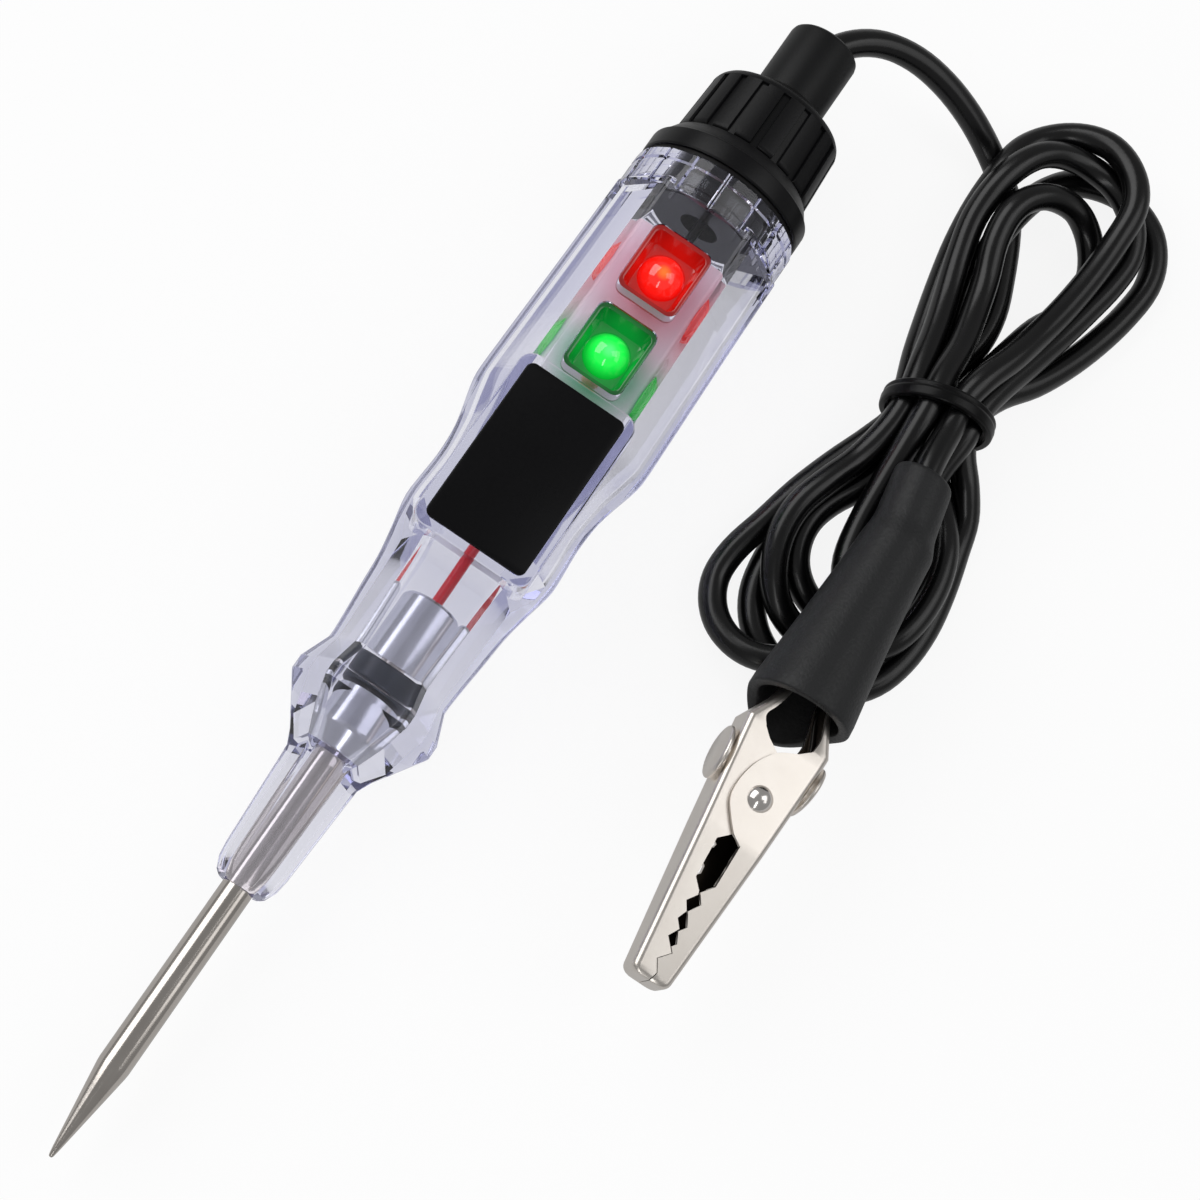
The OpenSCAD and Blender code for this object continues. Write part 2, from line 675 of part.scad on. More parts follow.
// Stands on a jaw's back at one place along it, square to the sheet
module screw_place(x, side) {
    back = side > 0 ? fixed_back : moving_back;
    slope = atan((back[1][1] - back[0][1]) / (back[1][0] - back[0][0]));
    translate([x, side * lookup(x, back), 0]) rotate([-90 * side, 0, side * slope]) children();
}

module jaw_screw(x, side) {
    clipped() screw_place(x, side) {
        length_in = sheet_t + nut_t + screw_over;
        translate([0, 0, -length_in]) cylinder(h = length_in + screw_lift, r = screw_r);
        cylinder(h = screw_lift, r = screw_neck_r);
        translate([0, 0, screw_lift])
            cylinder(h = screw_head_t, r1 = screw_head_d / 2, r2 = screw_head_d / 2 - 0.3);
    }
}

module jaw_nut(x, side) {
    clipped() screw_place(x, side) translate([0, 0, -sheet_t - nut_t - 0.05]) difference() {
        cylinder(h = nut_t, r = nut_flats / 2 / cos(30), $fn = 6);
        translate([0, 0, -1]) cylinder(h = nut_t + 2, r = screw_r + fit);
    }
}

module fixed_screw() {
    color([0.72, 0.71, 0.69]) jaw_screw(fixed_screw_x, 1);
}

module fixed_nut() {
    color([0.6, 0.58, 0.55]) jaw_nut(fixed_screw_x, 1);
}

module moving_screw() {
    color([0.72, 0.71, 0.69]) jaw_screw(moving_screw_x, -1);
}

module moving_nut() {
    color([0.6, 0.58, 0.55]) jaw_nut(moving_screw_x, -1);
}

module clip_rivet() {
    head_z = moving_half_w + rivet_clear;
    head_h = 0.75;
    head_r = rivet_head_d / 2;
    dome_r = (head_h * head_h + head_r * head_r) / (2 * head_h);
    color([0.85, 0.84, 0.82]) clipped() translate([pivot[0], pivot[1], 0]) {
        cylinder(h = 2 * head_z + 0.2, r = rivet_r, center = true);
        for (s = [-1, 1]) scale([1, 1, s]) translate([0, 0, head_z]) rotate_extrude()
            intersection() {
                translate([0, head_h - dome_r]) circle(r = dome_r);
                square([head_r, head_h]);
            }
    }
}

// Torsion spring round the rivet, with one leg under each handle
module clip_spring() {
    rise = wire_d + 0.05;
    low = -coil_turns * rise / 2;
    total = coil_turns * coil_steps;
    coil = [for (i = [0:total])
        [pivot[0] + coil_r * sin(360 * i / coil_steps), pivot[1] - coil_r * cos(360 * i / coil_steps),
         low + rise * i / coil_steps]];
    leg_low = [[leg_x[2], -1.62, low], [leg_x[1], -1.8, low], [leg_x[0], -1.98, low]];
    leg_high = [[leg_x[0], -1.2, -low], [leg_x[1], 0.1, -low], [leg_x[2], 1.62, -low]];
    color([0.12, 0.12, 0.13]) clipped()
        loft(tube_rings(concat(leg_low, coil, leg_high), wire_d / 2, 8));
}

module lead_ferrule() {
    color([0.7, 0.7, 0.7]) clipped() translate([crimp_x, crimp_y, 0])
        rotate([0, 90, 0]) cylinder(h = crimp_len, r = crimp_r);
}

handle_shell();
label_plate();
green_window();
red_window();
green_lamp();
red_lamp();
circuit_board();
board_resistors();
probe_rod();
probe_ferrule();
seal_ring();
contact_barrel();
red_wire();
black_wire();
cap_gasket();
screw_cap();
cord_sleeve();
lead_tail();
lead_hank();
lead_end();
hank_tie();
clip_boot();
fixed_jaw();
moving_jaw();
clip_rivet();
clip_spring();
fixed_screw();
fixed_nut();
moving_screw();
moving_nut();
lead_ferrule();
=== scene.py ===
# Voltage test pen: a clear six-sided handle with lamps, a ribbed cap, a tied lead and an alligator
# clip. Pieces of the pen are drawn along its own axis and pieces of the clip along the clip's, in
# millimetres.
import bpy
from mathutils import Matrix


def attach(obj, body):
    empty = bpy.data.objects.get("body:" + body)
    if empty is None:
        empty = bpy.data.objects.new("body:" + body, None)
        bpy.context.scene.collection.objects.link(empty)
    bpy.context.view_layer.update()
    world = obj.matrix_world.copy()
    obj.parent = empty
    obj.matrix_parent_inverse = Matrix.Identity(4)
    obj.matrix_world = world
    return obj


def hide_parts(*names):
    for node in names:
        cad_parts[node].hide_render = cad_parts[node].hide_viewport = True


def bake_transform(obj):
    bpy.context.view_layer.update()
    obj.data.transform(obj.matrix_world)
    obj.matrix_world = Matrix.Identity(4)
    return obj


bl_info = {
    "name": "Voltage test pen",
    "version": (1, 0, 0),
    "blender": (4, 5, 0),
    "location": "3D View > Sidebar > Test pen",
    "description": "Builds a clear test pen with a tied lead and an alligator clip",
    "category": "Object",
}

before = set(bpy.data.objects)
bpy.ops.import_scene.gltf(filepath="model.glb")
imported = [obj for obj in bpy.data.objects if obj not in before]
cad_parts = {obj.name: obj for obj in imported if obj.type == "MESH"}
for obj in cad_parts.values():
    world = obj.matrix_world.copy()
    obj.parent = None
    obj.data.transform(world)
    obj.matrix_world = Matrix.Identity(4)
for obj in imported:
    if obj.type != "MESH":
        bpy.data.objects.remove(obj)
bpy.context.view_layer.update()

import math

import bmesh
import bpy
from bpy.props import FloatProperty, IntProperty, PointerProperty, StringProperty
from mathutils import Matrix, Vector

MM = 0.001

# Where the pen and the clip lie
TILT = math.radians(2.8046)
PEN_AT = (-71.8155, 0.0, 4.6640)
PEN = Matrix.Scale(MM, 4) @ Matrix.Translation(PEN_AT) @ Matrix.Rotation(-TILT, 4, "Y")
CLIP_AT = (-26.5, -38.9, 11.876)
CLIP_ROLL = math.radians(9)
CLIP_TURN = math.radians(2.7)
CLIP_SIDE = 0.6
CLIP = (Matrix.Scale(MM, 4) @ Matrix.Translation(CLIP_AT) @ Matrix.Rotation(CLIP_TURN, 4, "Z")
        @ Matrix.Rotation(CLIP_ROLL, 4, "X") @ Matrix.Translation((0, CLIP_SIDE, 0)))

# Places along the pen from its point, heights above its axis and radii
GRIP_X, COLLAR_X, HANDLE_END, CAP_X = 57.7, 115.9, 120.4, 121.0
DRUM_X, RIB_END, DRUM_END, PEN_END = 125.2, 132.5, 135.1, 143.6
WINDOW_XS = (97.2, 107.7)
WINDOW_TOP = 8.99
PAD_X, PAD_END, PAD_W, PAD_TOP = 70.4, 92.2, 14.0, 9.5
PAD_MIDDLE = (PAD_X + PAD_END) / 2
BOARD_TOP = 2.2
ROD_R, ROD_IN_R = 1.7, 1.4


# ---- small tools ----

def linear(code):
    """An sRGB hex colour as linear red, green, blue and alpha."""
    parts = [int(code[i:i + 2], 16) / 255 for i in (1, 3, 5)]
    return tuple(c / 12.92 if c <= 0.04045 else ((c + 0.055) / 1.055) ** 2.4
                 for c in parts) + (1.0,)


def add(tree, kind, inputs=None, **settings):
    """Adds a node. An input takes a value, a socket or a node, whose first output in use counts."""
    node = tree.nodes.new(kind)
    for key, value in settings.items():
        setattr(node, key, value)
    for key, value in (inputs or {}).items():
        if isinstance(value, bpy.types.Node):
            value = next(socket for socket in value.outputs if socket.enabled)
        if isinstance(value, bpy.types.NodeSocket):
            tree.links.new(value, node.inputs[key])
        else:
            node.inputs[key].default_value = value
    return node


def new_object(name, data):
    """An object in the scene."""
    obj = bpy.data.objects.new(name, data)
    bpy.context.scene.collection.objects.link(obj)
    return obj


def smooth(obj, angle):
    """Smooth faces with edges sharper than an angle left crisp."""
    obj.data.shade_smooth()
    obj.data.set_sharp_from_angle(angle=math.radians(angle))


# Points closer than this are one, in millimetres: as drawn, in the cut handle and in a cut jaw
WELD, SHELL_WELD, JAW_WELD = 0.0004, 0.002, 0.003


def welded(mesh, dist, degenerate=True, outwards=True):
    """Joins points closer than dist, clears faces without area and turns the others outwards."""
    bm = bmesh.new()
    bm.from_mesh(mesh)
    bmesh.ops.remove_doubles(bm, verts=bm.verts, dist=dist)
    if degenerate:
        bmesh.ops.dissolve_degenerate(bm, edges=bm.edges, dist=dist)
    if outwards:
        bmesh.ops.recalc_face_normals(bm, faces=bm.faces)
    bm.to_mesh(mesh)
    bm.free()


def solid(name, rings, place=Matrix(), angle=30, looped=False):
    """A closed piece skinned over rings of equally many points, put in its place."""
    m, n = len(rings), len(rings[0])
    faces = [(i * n + j, (i + 1) % m * n + j, (i + 1) % m * n + (j + 1) % n, i * n + (j + 1) % n)
             for i in range(m if looped else m - 1) for j in range(n)]
    if not looped:
        faces += [tuple(range(n)), tuple((m - 1) * n + j for j in range(n))]
    mesh = bpy.data.meshes.new(name)
    mesh.from_pydata([tuple(p) for ring in rings for p in ring], [], faces)
    welded(mesh, WELD)
    mesh.transform(place)
    obj = new_object(name, mesh)
    smooth(obj, angle)
    return obj


def turned(profile, count=96, middle=(0, 0)):
    """Rings of a profile of (x, radius) turned about an axis along X."""
    turns = [math.tau * j / count for j in range(count)]
    return [[(x, middle[0] + r * math.cos(a), middle[1] + r * math.sin(a)) for a in turns]
            for x, r in profile]


def arc(cx, cy, r, a0, a1, steps):
    """Points on an arc in a profile, angles in degrees."""
    angles = [math.radians(a0 + (a1 - a0) * i / steps) for i in range(steps + 1)]
    return [(cx + r * math.cos(a), cy + r * math.sin(a)) for a in angles]


def eased(profile, r):
    """A closed profile with its corners rounded by a small radius."""
    out = []
    for i in range(len(profile)):
        a, p, b = (Vector(profile[k % len(profile)]) for k in (i - 1, i, i + 1))
        u, v = a - p, b - p
        cut = min(r, 0.45 * u.length, 0.45 * v.length)
        if cut < 0.01 or abs(u.normalized().cross(v.normalized())) < 0.1:
            out.append(tuple(p))
            continue
        start, end = p + u.normalized() * cut, p + v.normalized() * cut
        for t in (0, 0.25, 0.5, 0.75, 1):
            out.append(tuple(start * (1 - t) ** 2 + p * 2 * t * (1 - t) + end * t ** 2))
    return out


def turned_solid(name, profile, place=Matrix(), count=96, angle=30, r=0.0):
    """A solid turned from a closed profile of (x, radius), with its corners eased by r."""
    rings = turned(eased(profile, r) if r else profile, count)
    return solid(name, rings, place, angle, looped=True)


LOOP_POINTS = 64


def rounded_loop(x, length, width, r, z):
    """A loop of points round a rounded rectangle, as many at each corner."""
    hx, hy, last = length / 2 - r, width / 2 - r, LOOP_POINTS // 4 - 1
    return [(x + cx + r * math.cos(a), cy + r * math.sin(a), z)
            for cx, cy, a0 in ((hx, hy, 0), (-hx, hy, 90), (-hx, -hy, 180), (hx, -hy, 270))
            for a in [math.radians(a0 + 90 * k / last) for k in range(last + 1)]]


def round_loop(x, r, z):
    """A loop of points round a circle, matched to rounded_loop."""
    angles = [math.tau * k / LOOP_POINTS for k in range(LOOP_POINTS)]
    return [(x + r * math.cos(a), r * math.sin(a), z) for a in angles]


def plate(x, length, width, r, z0, z1, bevel=0.0):
    """Rings of a plate with rounded corners and an eased top edge."""
    rings = [rounded_loop(x, length, width, r, z0)]
    for a in [math.radians(step) for step in ((0, 30, 60, 90) if bevel else (90,))]:
        inset = bevel * (1 - math.cos(a))
        rings.append(rounded_loop(x, length - 2 * inset, width - 2 * inset, max(r - inset, 0.05),
                                  z1 - bevel + bevel * math.sin(a)))
    return rings


def tube(points, r, count):
    """Rings of a round tube along a route, without twist."""
    points = [Vector(p) for p in points]
    turns = [math.tau * k / count for k in range(count)]
    rings, side = [], None
    for i, p in enumerate(points):
        along = (points[min(i + 1, len(points) - 1)] - points[max(i - 1, 0)]).normalized()
        if side is None:
            side = along.cross(Vector((0, 0, 1))).normalized()
        side = (side - along * side.dot(along)).normalized()
        rise = along.cross(side)
        rings.append([p + r * (math.cos(a) * side + math.sin(a) * rise) for a in turns])
    return rings


def along_curve(points, steps):
    """A smooth line through points."""
    pts = [Vector(p) for p in points]
    pts = [2 * pts[0] - pts[1]] + pts + [2 * pts[-1] - pts[-2]]
    out = []
    for a, b, c, d in zip(pts, pts[1:], pts[2:], pts[3:]):
        t1 = (b - a).length ** 0.5
        t2 = t1 + (c - b).length ** 0.5
        t3 = t2 + (d - c).length ** 0.5
        for k in range(steps):
            t = t1 + (t2 - t1) * k / steps
            a2 = b.lerp(c, (t - t1) / (t2 - t1))
            b1 = a.lerp(b, t / t1).lerp(a2, t / t2)
            b2 = a2.lerp(c.lerp(d, (t - t2) / (t3 - t2)), (t - t1) / (t3 - t1))
            out.append(b1.lerp(b2, (t - t1) / (t2 - t1)))
    return out + [pts[-2]]


def lookup(x, table):
    """A value read off a table of (x, value), straight between its points."""
    if x <= table[0][0]:
        return table[0][1]
    for (x0, y0), (x1, y1) in zip(table, table[1:]):
        if x <= x1:
            return y0 + (y1 - y0) * (x - x0) / (x1 - x0)
    return table[-1][1]


def modified(obj, kind, inputs=None, **settings):
    """Works a modifier into an object's mesh. A Geometry Nodes one also takes named inputs."""
    mod = obj.modifiers.new("step", kind)
    for key, value in settings.items():
        setattr(mod, key, value)
    for item in mod.node_group.interface.items_tree if inputs else ():
        if item.in_out == "INPUT" and item.name in inputs:
            mod[item.identifier] = inputs[item.name]
    graph = bpy.context.evaluated_depsgraph_get()
    graph.update()
    mesh = bpy.data.meshes.new_from_object(obj.evaluated_get(graph))
    obj.modifiers.clear()
    obj.data = mesh
    return obj


def flattened(obj):
    """Keeps the flats of a smooth piece flat up to its rounded edges."""
    return modified(obj, "WEIGHTED_NORMAL", weight=100, keep_sharp=True)


def combined(obj, other, operation="DIFFERENCE"):
    """Cuts another solid out of one, or joins it on."""
    modified(obj, "BOOLEAN", operation=operation, solver="EXACT", object=other)
    bpy.data.objects.remove(other)


def joined(name, objs):
    """One object from the meshes of several."""
    bm = bmesh.new()
    for obj in objs:
        bm.from_mesh(obj.data)
        bpy.data.objects.remove(obj)
    mesh = bpy.data.meshes.new(name)
    bm.to_mesh(mesh)
    bm.free()
    return new_object(name, mesh)


def placed(obj, slot, mat, *nodes, body="pen"):
    """Gives a piece its material and its body, and hides the CAD nodes that it stands for; slot is
    not used.
    """
    if mat is not None:
        obj.data.materials.clear()
        obj.data.materials.append(finish(mat))
    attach(obj, body)
    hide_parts(*nodes)


# ---- materials ----

def material(name):
    """A new material, its empty node tree and its Object coordinates, in metres."""
    mat = bpy.data.materials.new(name)
    mat.use_nodes = True
    tree = mat.node_tree
    tree.nodes.clear()
    return mat, tree, add(tree, "ShaderNodeTexCoord").outputs["Object"]


def set_stops(scale, interpolation, *stops):
    """Sets the stops, as (place, colour), of a ramp's colour scale."""
    scale.interpolation = interpolation
    scale.elements[0].position, scale.elements[0].color = stops[0]
    scale.elements[1].position, scale.elements[1].color = stops[-1]
    for place, colour in stops[1:-1]:
        scale.elements.new(place).color = colour


def grain(tree, coords, size_mm, depth_mm, detail=2.0, stretch=None):
    """A noise with a real grain size, and the bump that it makes at a real depth."""
    if stretch is not None:
        coords = add(tree, "ShaderNodeMapping", {"Vector": coords, "Scale": stretch})
    noise = add(tree, "ShaderNodeTexNoise",
                {"Vector": coords, "Scale": 1 / (size_mm * MM), "Detail": detail})
    return noise, add(tree, "ShaderNodeBump",
                      {"Height": noise, "Strength": 1.0, "Distance": depth_mm * MM})


def faded(tree, coords, at, near, far, start=1.0):
    """Runs between 1 and 0, from start, over a stretch of distances from a place on the pen."""
    away = add(tree, "ShaderNodeVectorMath", {0: coords, 1: PEN @ Vector(at)}, operation="DISTANCE")
    return add(tree, "ShaderNodeMapRange",
               {"Value": away, "From Min": near * MM, "From Max": far * MM,
                "To Min": start, "To Max": 1.0 - start})


# Size of the slight mottle in a colour
PLASTIC_MOTTLE, METAL_MOTTLE = 6 * MM, 3 * MM


def plastic(name, colour, rough, grain_mm, depth_mm, spread=0.06, coat=0.0, specular=0.5):
    """An opaque moulded plastic or rubber: flat colour with a slight mottle, and a grain."""
    mat, tree, coords = material(name)
    noise, bump = grain(tree, coords, grain_mm, depth_mm)
    cloud = add(tree, "ShaderNodeTexNoise",
                {"Vector": coords, "Scale": 1 / PLASTIC_MOTTLE, "Detail": 3.0})
    tone = add(tree, "ShaderNodeValToRGB", {"Fac": cloud})
    base = linear(colour)
    darker = tuple(0.8 * c for c in base[:3]) + (1.0,)
    set_stops(tone.color_ramp, "LINEAR", (0.3, darker), (0.7, base))
    gloss = add(tree, "ShaderNodeMapRange",
                {"Value": noise, "To Min": rough - spread, "To Max": rough + spread})
    shader = add(tree, "ShaderNodeBsdfPrincipled",
                 {"Base Color": tone, "Roughness": gloss, "Normal": bump, "IOR": 1.5,
                  "Coat Weight": coat, "Coat Roughness": 0.12, "Specular IOR Level": specular})
    add(tree, "ShaderNodeOutputMaterial", {"Surface": shader})
    return mat


def metal(name, colour, shade, rough, grain_mm, depth_mm, stretch=None, spread=0.05):
    """A bare or plated metal with fine marks, drawn out along one direction by stretch."""
    mat, tree, coords = material(name)
    noise, bump = grain(tree, coords, grain_mm, depth_mm, 3.0, stretch)
    cloud = add(tree, "ShaderNodeTexNoise",
                {"Vector": coords, "Scale": 1 / METAL_MOTTLE, "Detail": 2.0})
    tone = add(tree, "ShaderNodeMix",
               {"Factor": cloud, "A": linear(colour), "B": linear(shade)}, data_type="RGBA")
    gloss = add(tree, "ShaderNodeMapRange",
                {"Value": noise, "To Min": rough - spread, "To Max": rough + spread})
    shader = add(tree, "ShaderNodeBsdfPrincipled",
                 {"Base Color": tone, "Roughness": gloss, "Normal": bump, "Metallic": 1.0})
    add(tree, "ShaderNodeOutputMaterial", {"Surface": shader})
    return mat


# How many turns a ray takes before the clear walls let it out, and how fast they tint it
CAUGHT_DEPTH = 3.5
TINT_DENSITY = 62.0


def clear_acrylic(tint):
    """Moulded clear acrylic: glossy, with a faint tint that deepens in thick walls."""
    mat, tree, coords = material("acrylic_clear_moulded")
    noise, bump = grain(tree, coords, 4.0, 0.006, 1.0)
    gloss = add(tree, "ShaderNodeMapRange", {"Value": noise, "To Min": 0.01, "To Max": 0.05})
    glass = add(tree, "ShaderNodeBsdfPrincipled",
                {"Base Color": linear("#FBFBFD"), "IOR": 1.49, "Transmission Weight": 1.0,
                 "Roughness": gloss, "Normal": bump})
    open_way = add(tree, "ShaderNodeBsdfTransparent", {"Color": linear("#EEEEF6")})
    path = add(tree, "ShaderNodeLightPath").outputs
    # A ray caught between the walls for long is let out, where it would otherwise end black
    caught = add(tree, "ShaderNodeMath", {0: path["Ray Depth"], 1: CAUGHT_DEPTH},
                 operation="GREATER_THAN")
    free = add(tree, "ShaderNodeMath", {0: path["Is Shadow Ray"], 1: caught}, operation="MAXIMUM")
    mix = add(tree, "ShaderNodeMixShader", {"Fac": free, 1: glass, 2: open_way})
    deep = add(tree, "ShaderNodeVolumeAbsorption",
               {"Color": linear(tint), "Density": TINT_DENSITY})
    add(tree, "ShaderNodeOutputMaterial", {"Surface": mix, "Volume": deep})
    return mat


def lamp_cup(name, colour, deep, glow, x):
    """Tinted glossy styrene with painted lamp light: lighter and glowing near the lamp below its
    middle, painted darker towards its deep colour away from it.
    """
    mat, tree, coords = material(name)
    # Painted light and shade: 1 near the lamp, where the cup takes its lit colour and glows, 0 far
    # from it
    fade = faded(tree, coords, (x, 0, WINDOW_TOP - 3.0), 1.5, 5.5)
    tone, shine = (add(tree, "ShaderNodeMix",
                       {"Factor": fade, "A": linear(deep), "B": linear(code)}, data_type="RGBA")
                   for code in (colour, glow))
    noise, bump = grain(tree, coords, 1.5, 0.004, 1.0)
    gloss = add(tree, "ShaderNodeMapRange", {"Value": noise, "To Min": 0.12, "To Max": 0.22})
    shader = add(tree, "ShaderNodeBsdfPrincipled",
                 {"Base Color": tone, "Emission Color": shine, "Emission Strength": 0.4,
                  "Roughness": gloss, "Normal": bump, "IOR": 1.59, "Coat Weight": 0.5})
    add(tree, "ShaderNodeOutputMaterial", {"Surface": shader})
    return mat


def lamp_dome(name, rim, body, core, x, strength):
    """Tinted epoxy lamp, bright where its chip sits, its colour and glow fading to a darker rim:
    painted shade that rounds the dome.
    """
    mat, tree, coords = material(name)
    reach = faded(tree, coords, (x, 0, WINDOW_TOP - 1.7), 0.9, 3.1, start=0.0)
    tone = add(tree, "ShaderNodeValToRGB", {"Fac": reach})
    set_stops(tone.color_ramp, "EASE", (0.0, linear(core)), (0.2, linear(body)),
              (1.0, linear(rim)))
    shader = add(tree, "ShaderNodeBsdfPrincipled",
                 {"Base Color": tone, "Emission Color": tone, "Emission Strength": strength,
                  "Roughness": 0.08, "IOR": 1.54, "Coat Weight": 1.0})
    add(tree, "ShaderNodeOutputMaterial", {"Surface": shader})
    return mat


def resistor_paint():
    """Tan lacquered resistor bodies with coloured bands across them."""
    mat, tree, coords = material("carbon_film_resistor_lacquer")
    step = 0.95 * MM
    across = add(tree, "ShaderNodeSeparateXYZ", {0: coords})
    wave = add(tree, "ShaderNodeMath", {0: across, 1: step}, operation="MODULO")
    place = add(tree, "ShaderNodeMapRange", {"Value": wave, "From Min": -step, "From Max": step})
    bands = add(tree, "ShaderNodeValToRGB", {"Fac": place})
    tan, brown = linear("#C9A878"), linear("#6E3A1E")
    set_stops(bands.color_ramp, "CONSTANT", (0.0, tan), (0.3, brown), (0.45, tan))
    shader = add(tree, "ShaderNodeBsdfPrincipled",
                 {"Base Color": bands, "Roughness": 0.3, "Coat Weight": 0.3})
    add(tree, "ShaderNodeOutputMaterial", {"Surface": shader})
    return mat


def board_laminate():
    """Glass laminate with a pale mask and painted lamp light: green and red painted round the
    lamps, and a faint painted glow over the whole board.
    """
    mat, tree, coords = material("glass_laminate_pale_masked_painted_glow")
    noise, bump = grain(tree, coords, 0.35, 0.004)
    tone = add(tree, "ShaderNodeMix",
               {"Factor": noise, "A": linear("#CFCCC8"), "B": linear("#DEDCDA")}, data_type="RGBA")
    # Painted lamp light: each lamp's colour laid on round its foot, the red reaching further
    for x, code, reach in zip(WINDOW_XS, ("#5FA882", "#D29AA6"), (6.0, 11.0)):
        near = faded(tree, coords, (x, 0, BOARD_TOP), 3.0, reach)
        tone = add(tree, "ShaderNodeMix", {"Factor": near, "A": tone, "B": linear(code)},
                   data_type="RGBA")
    # Painted glow: the board's colour also shines faintly, though it is no lamp
    shader = add(tree, "ShaderNodeBsdfPrincipled",
                 {"Base Color": tone, "Emission Color": tone, "Emission Strength": 0.12,
                  "Roughness": 0.42, "Normal": bump})
    add(tree, "ShaderNodeOutputMaterial", {"Surface": shader})
    return mat


# How each material is made, from the colours that a user may change. Marks on metal and mould
# grain are really finer than some of these: the finest are drawn 0.12 to 0.2 mm wide, to show.
MAKERS = {
    # ABS: satin from a lightly sparked mould
    "cap": lambda c: plastic("abs_black_satin_moulded", c.cap, 0.34, 0.22, 0.008, specular=0.2),
    # Soft PVC: a little duller than the cap
    "sleeve": lambda c: plastic("soft_pvc_black_moulded", "#0C0D0E", 0.42, 0.2, 0.006,
                                specular=0.26),
    # Boot: matte vinyl with the pebble grain of its mould
    "boot": lambda c: plastic("soft_vinyl_black_grained", c.boot, 0.52, 0.34, 0.05, 0.12,
                              specular=0.45),
    # Extruded PVC jacket: glossy, so the lamps run along it as long lights
    "lead": lambda c: plastic("pvc_black_extruded", c.lead, 0.26, 1.2, 0.006, 0.04, 0.1,
                              specular=0.4),
    # Tie: rubber with a soft sheen
    "tie": lambda c: plastic("rubber_black_moulded", "#060607", 0.3, 0.3, 0.006, specular=0.18),
    # Plate: black printed foil, smooth and nearly matte
    "label": lambda c: plastic("polyester_foil_black_printed", c.label, 0.3, 0.4, 0.002,
                               specular=0.16),
    # Back of the foil: pale adhesive, seen only through the clear pad
    "backing": lambda c: plastic("adhesive_pale_coated", "#C9CAD4", 0.5, 0.4, 0.002),
    # Seal: nitrile rubber, blue-grey through the clear neck
    "seal": lambda c: plastic("nitrile_rubber_grey_moulded", "#1C222B", 0.4, 0.2, 0.004),
    # Gasket: soft black sheet
    "gasket": lambda c: plastic("neoprene_black_cut", "#0A090A", 0.5, 0.15, 0.006, specular=0.2),
    # Hookup wires: glossy insulation
    "wire_red": lambda c: plastic("pvc_red_wire_jacket", "#E60A1E", 0.3, 0.6, 0.003),
    "wire_black": lambda c: plastic("pvc_black_wire_jacket", "#101012", 0.3, 0.6, 0.003),
    # Probe: polished nickel on steel with faint turning marks
    "rod": lambda c: metal("nickel_plated_steel_polished", "#D8D2CC", "#C4BDB6", 0.16, 0.12, 0.0015,
                           (6.0, 0.6, 0.6)),
    # Clip: pressed steel with satin nickel, rolling marks along the sheet
    "clip": lambda c: metal("nickel_plated_steel_satin", c.clip, "#DCD5CD", 0.3, 0.12, 0.0007,
                            (0.3, 1.0, 1.0)),
    # Inside of the jaws: thin plating, painted dull dark brown for the shade in the hollow jaws
    "clip_inside_shade": lambda c: metal("steel_thinly_plated_painted_shade", "#5A5048", "#332D28", 0.4, 0.2,
                                   0.002),
    # Rivet: headed and tumbled bright
    "rivet": lambda c: metal("nickel_plated_steel_tumbled", "#F2EEEA", "#E4DFDA", 0.17, 0.5, 0.002,
                             spread=0.03),
    # Barrel and ferrule: tinned brass, brighter than the clip
    "tinned": lambda c: metal("tinned_brass_turned", "#E2E3E6", "#C7C8CC", 0.2, 0.15, 0.002,
                              (5.0, 0.5, 0.5)),
    # Spring: music wire, oiled dark
    "spring": lambda c: metal("spring_steel_oiled", "#3A3836", "#1E1D1C", 0.3, 0.2, 0.002),
    # Nuts: zinc over steel, painted dark for the shade inside the boot
    "nut": lambda c: metal("zinc_plated_steel_pressed", "#8E8A86", "#5F5B58", 0.3, 0.2, 0.002),
    "board": lambda c: board_laminate(),
    "resistor": lambda c: resistor_paint(),
    "clear": lambda c: clear_acrylic(c.clear),
    # Cups: colour, a deeper colour away from the lamp (painted shade) and a painted glow
    "green_cup": lambda c: lamp_cup("tinted_styrene_green_painted_glow", "#0C8A34", "#054A1A", "#12B848",
                                    WINDOW_XS[0]),
    "red_cup": lambda c: lamp_cup("tinted_styrene_red_painted_glow", "#C01410", "#7C0806", "#E01C12",
                                  WINDOW_XS[1]),
    # Lamps: rim, body and core colours; the dark rim is painted shade
    "green_lamp": lambda c: lamp_dome("tinted_epoxy_green_lit", "#059A2A", "#12E044", "#5CFF80",
                                      WINDOW_XS[0], 0.75),
    "red_lamp": lambda c: lamp_dome("tinted_epoxy_red_lit", "#B80606", "#F81A10", "#FF7A20",
                                    WINDOW_XS[1], 0.8),
}
FINISHES = {}


def finish(name):
    """The material of that name, made the first time that it is asked for."""
    if name not in FINISHES:
        FINISHES[name] = MAKERS[name](bpy.context.scene.pen_colours)
    return FINISHES[name]


# ---- what a user may change ----

class TestPenSizes(bpy.types.PropertyGroup):
    """Sizes of the pen's dressed pieces."""
    lead_diameter: FloatProperty(name="Lead diameter", description="Outside of the lead's jacket",
                                 default=0.0031, min=0.002, max=0.0034, unit="LENGTH", precision=5)
    rib_count: IntProperty(name="Ribs", description="Ribs round the screw cap",
                           default=18, min=12, max=24)
    rib_height: FloatProperty(name="Rib height",
                              description="How far the ribs stand out of the cap's drum",
                              default=0.00035, min=0.0002, max=0.0005, unit="LENGTH", precision=5)
    tie_width: FloatProperty(name="Tie width", description="Width of the band round the hank",
                             default=0.0020, min=0.0012, max=0.0024, unit="LENGTH", precision=5)
    corner_radius: FloatProperty(name="Handle corner",
                                 description="Radius on the handle's six long corners",
                                 default=0.0008, min=0.0004, max=0.0012, unit="LENGTH", precision=5)


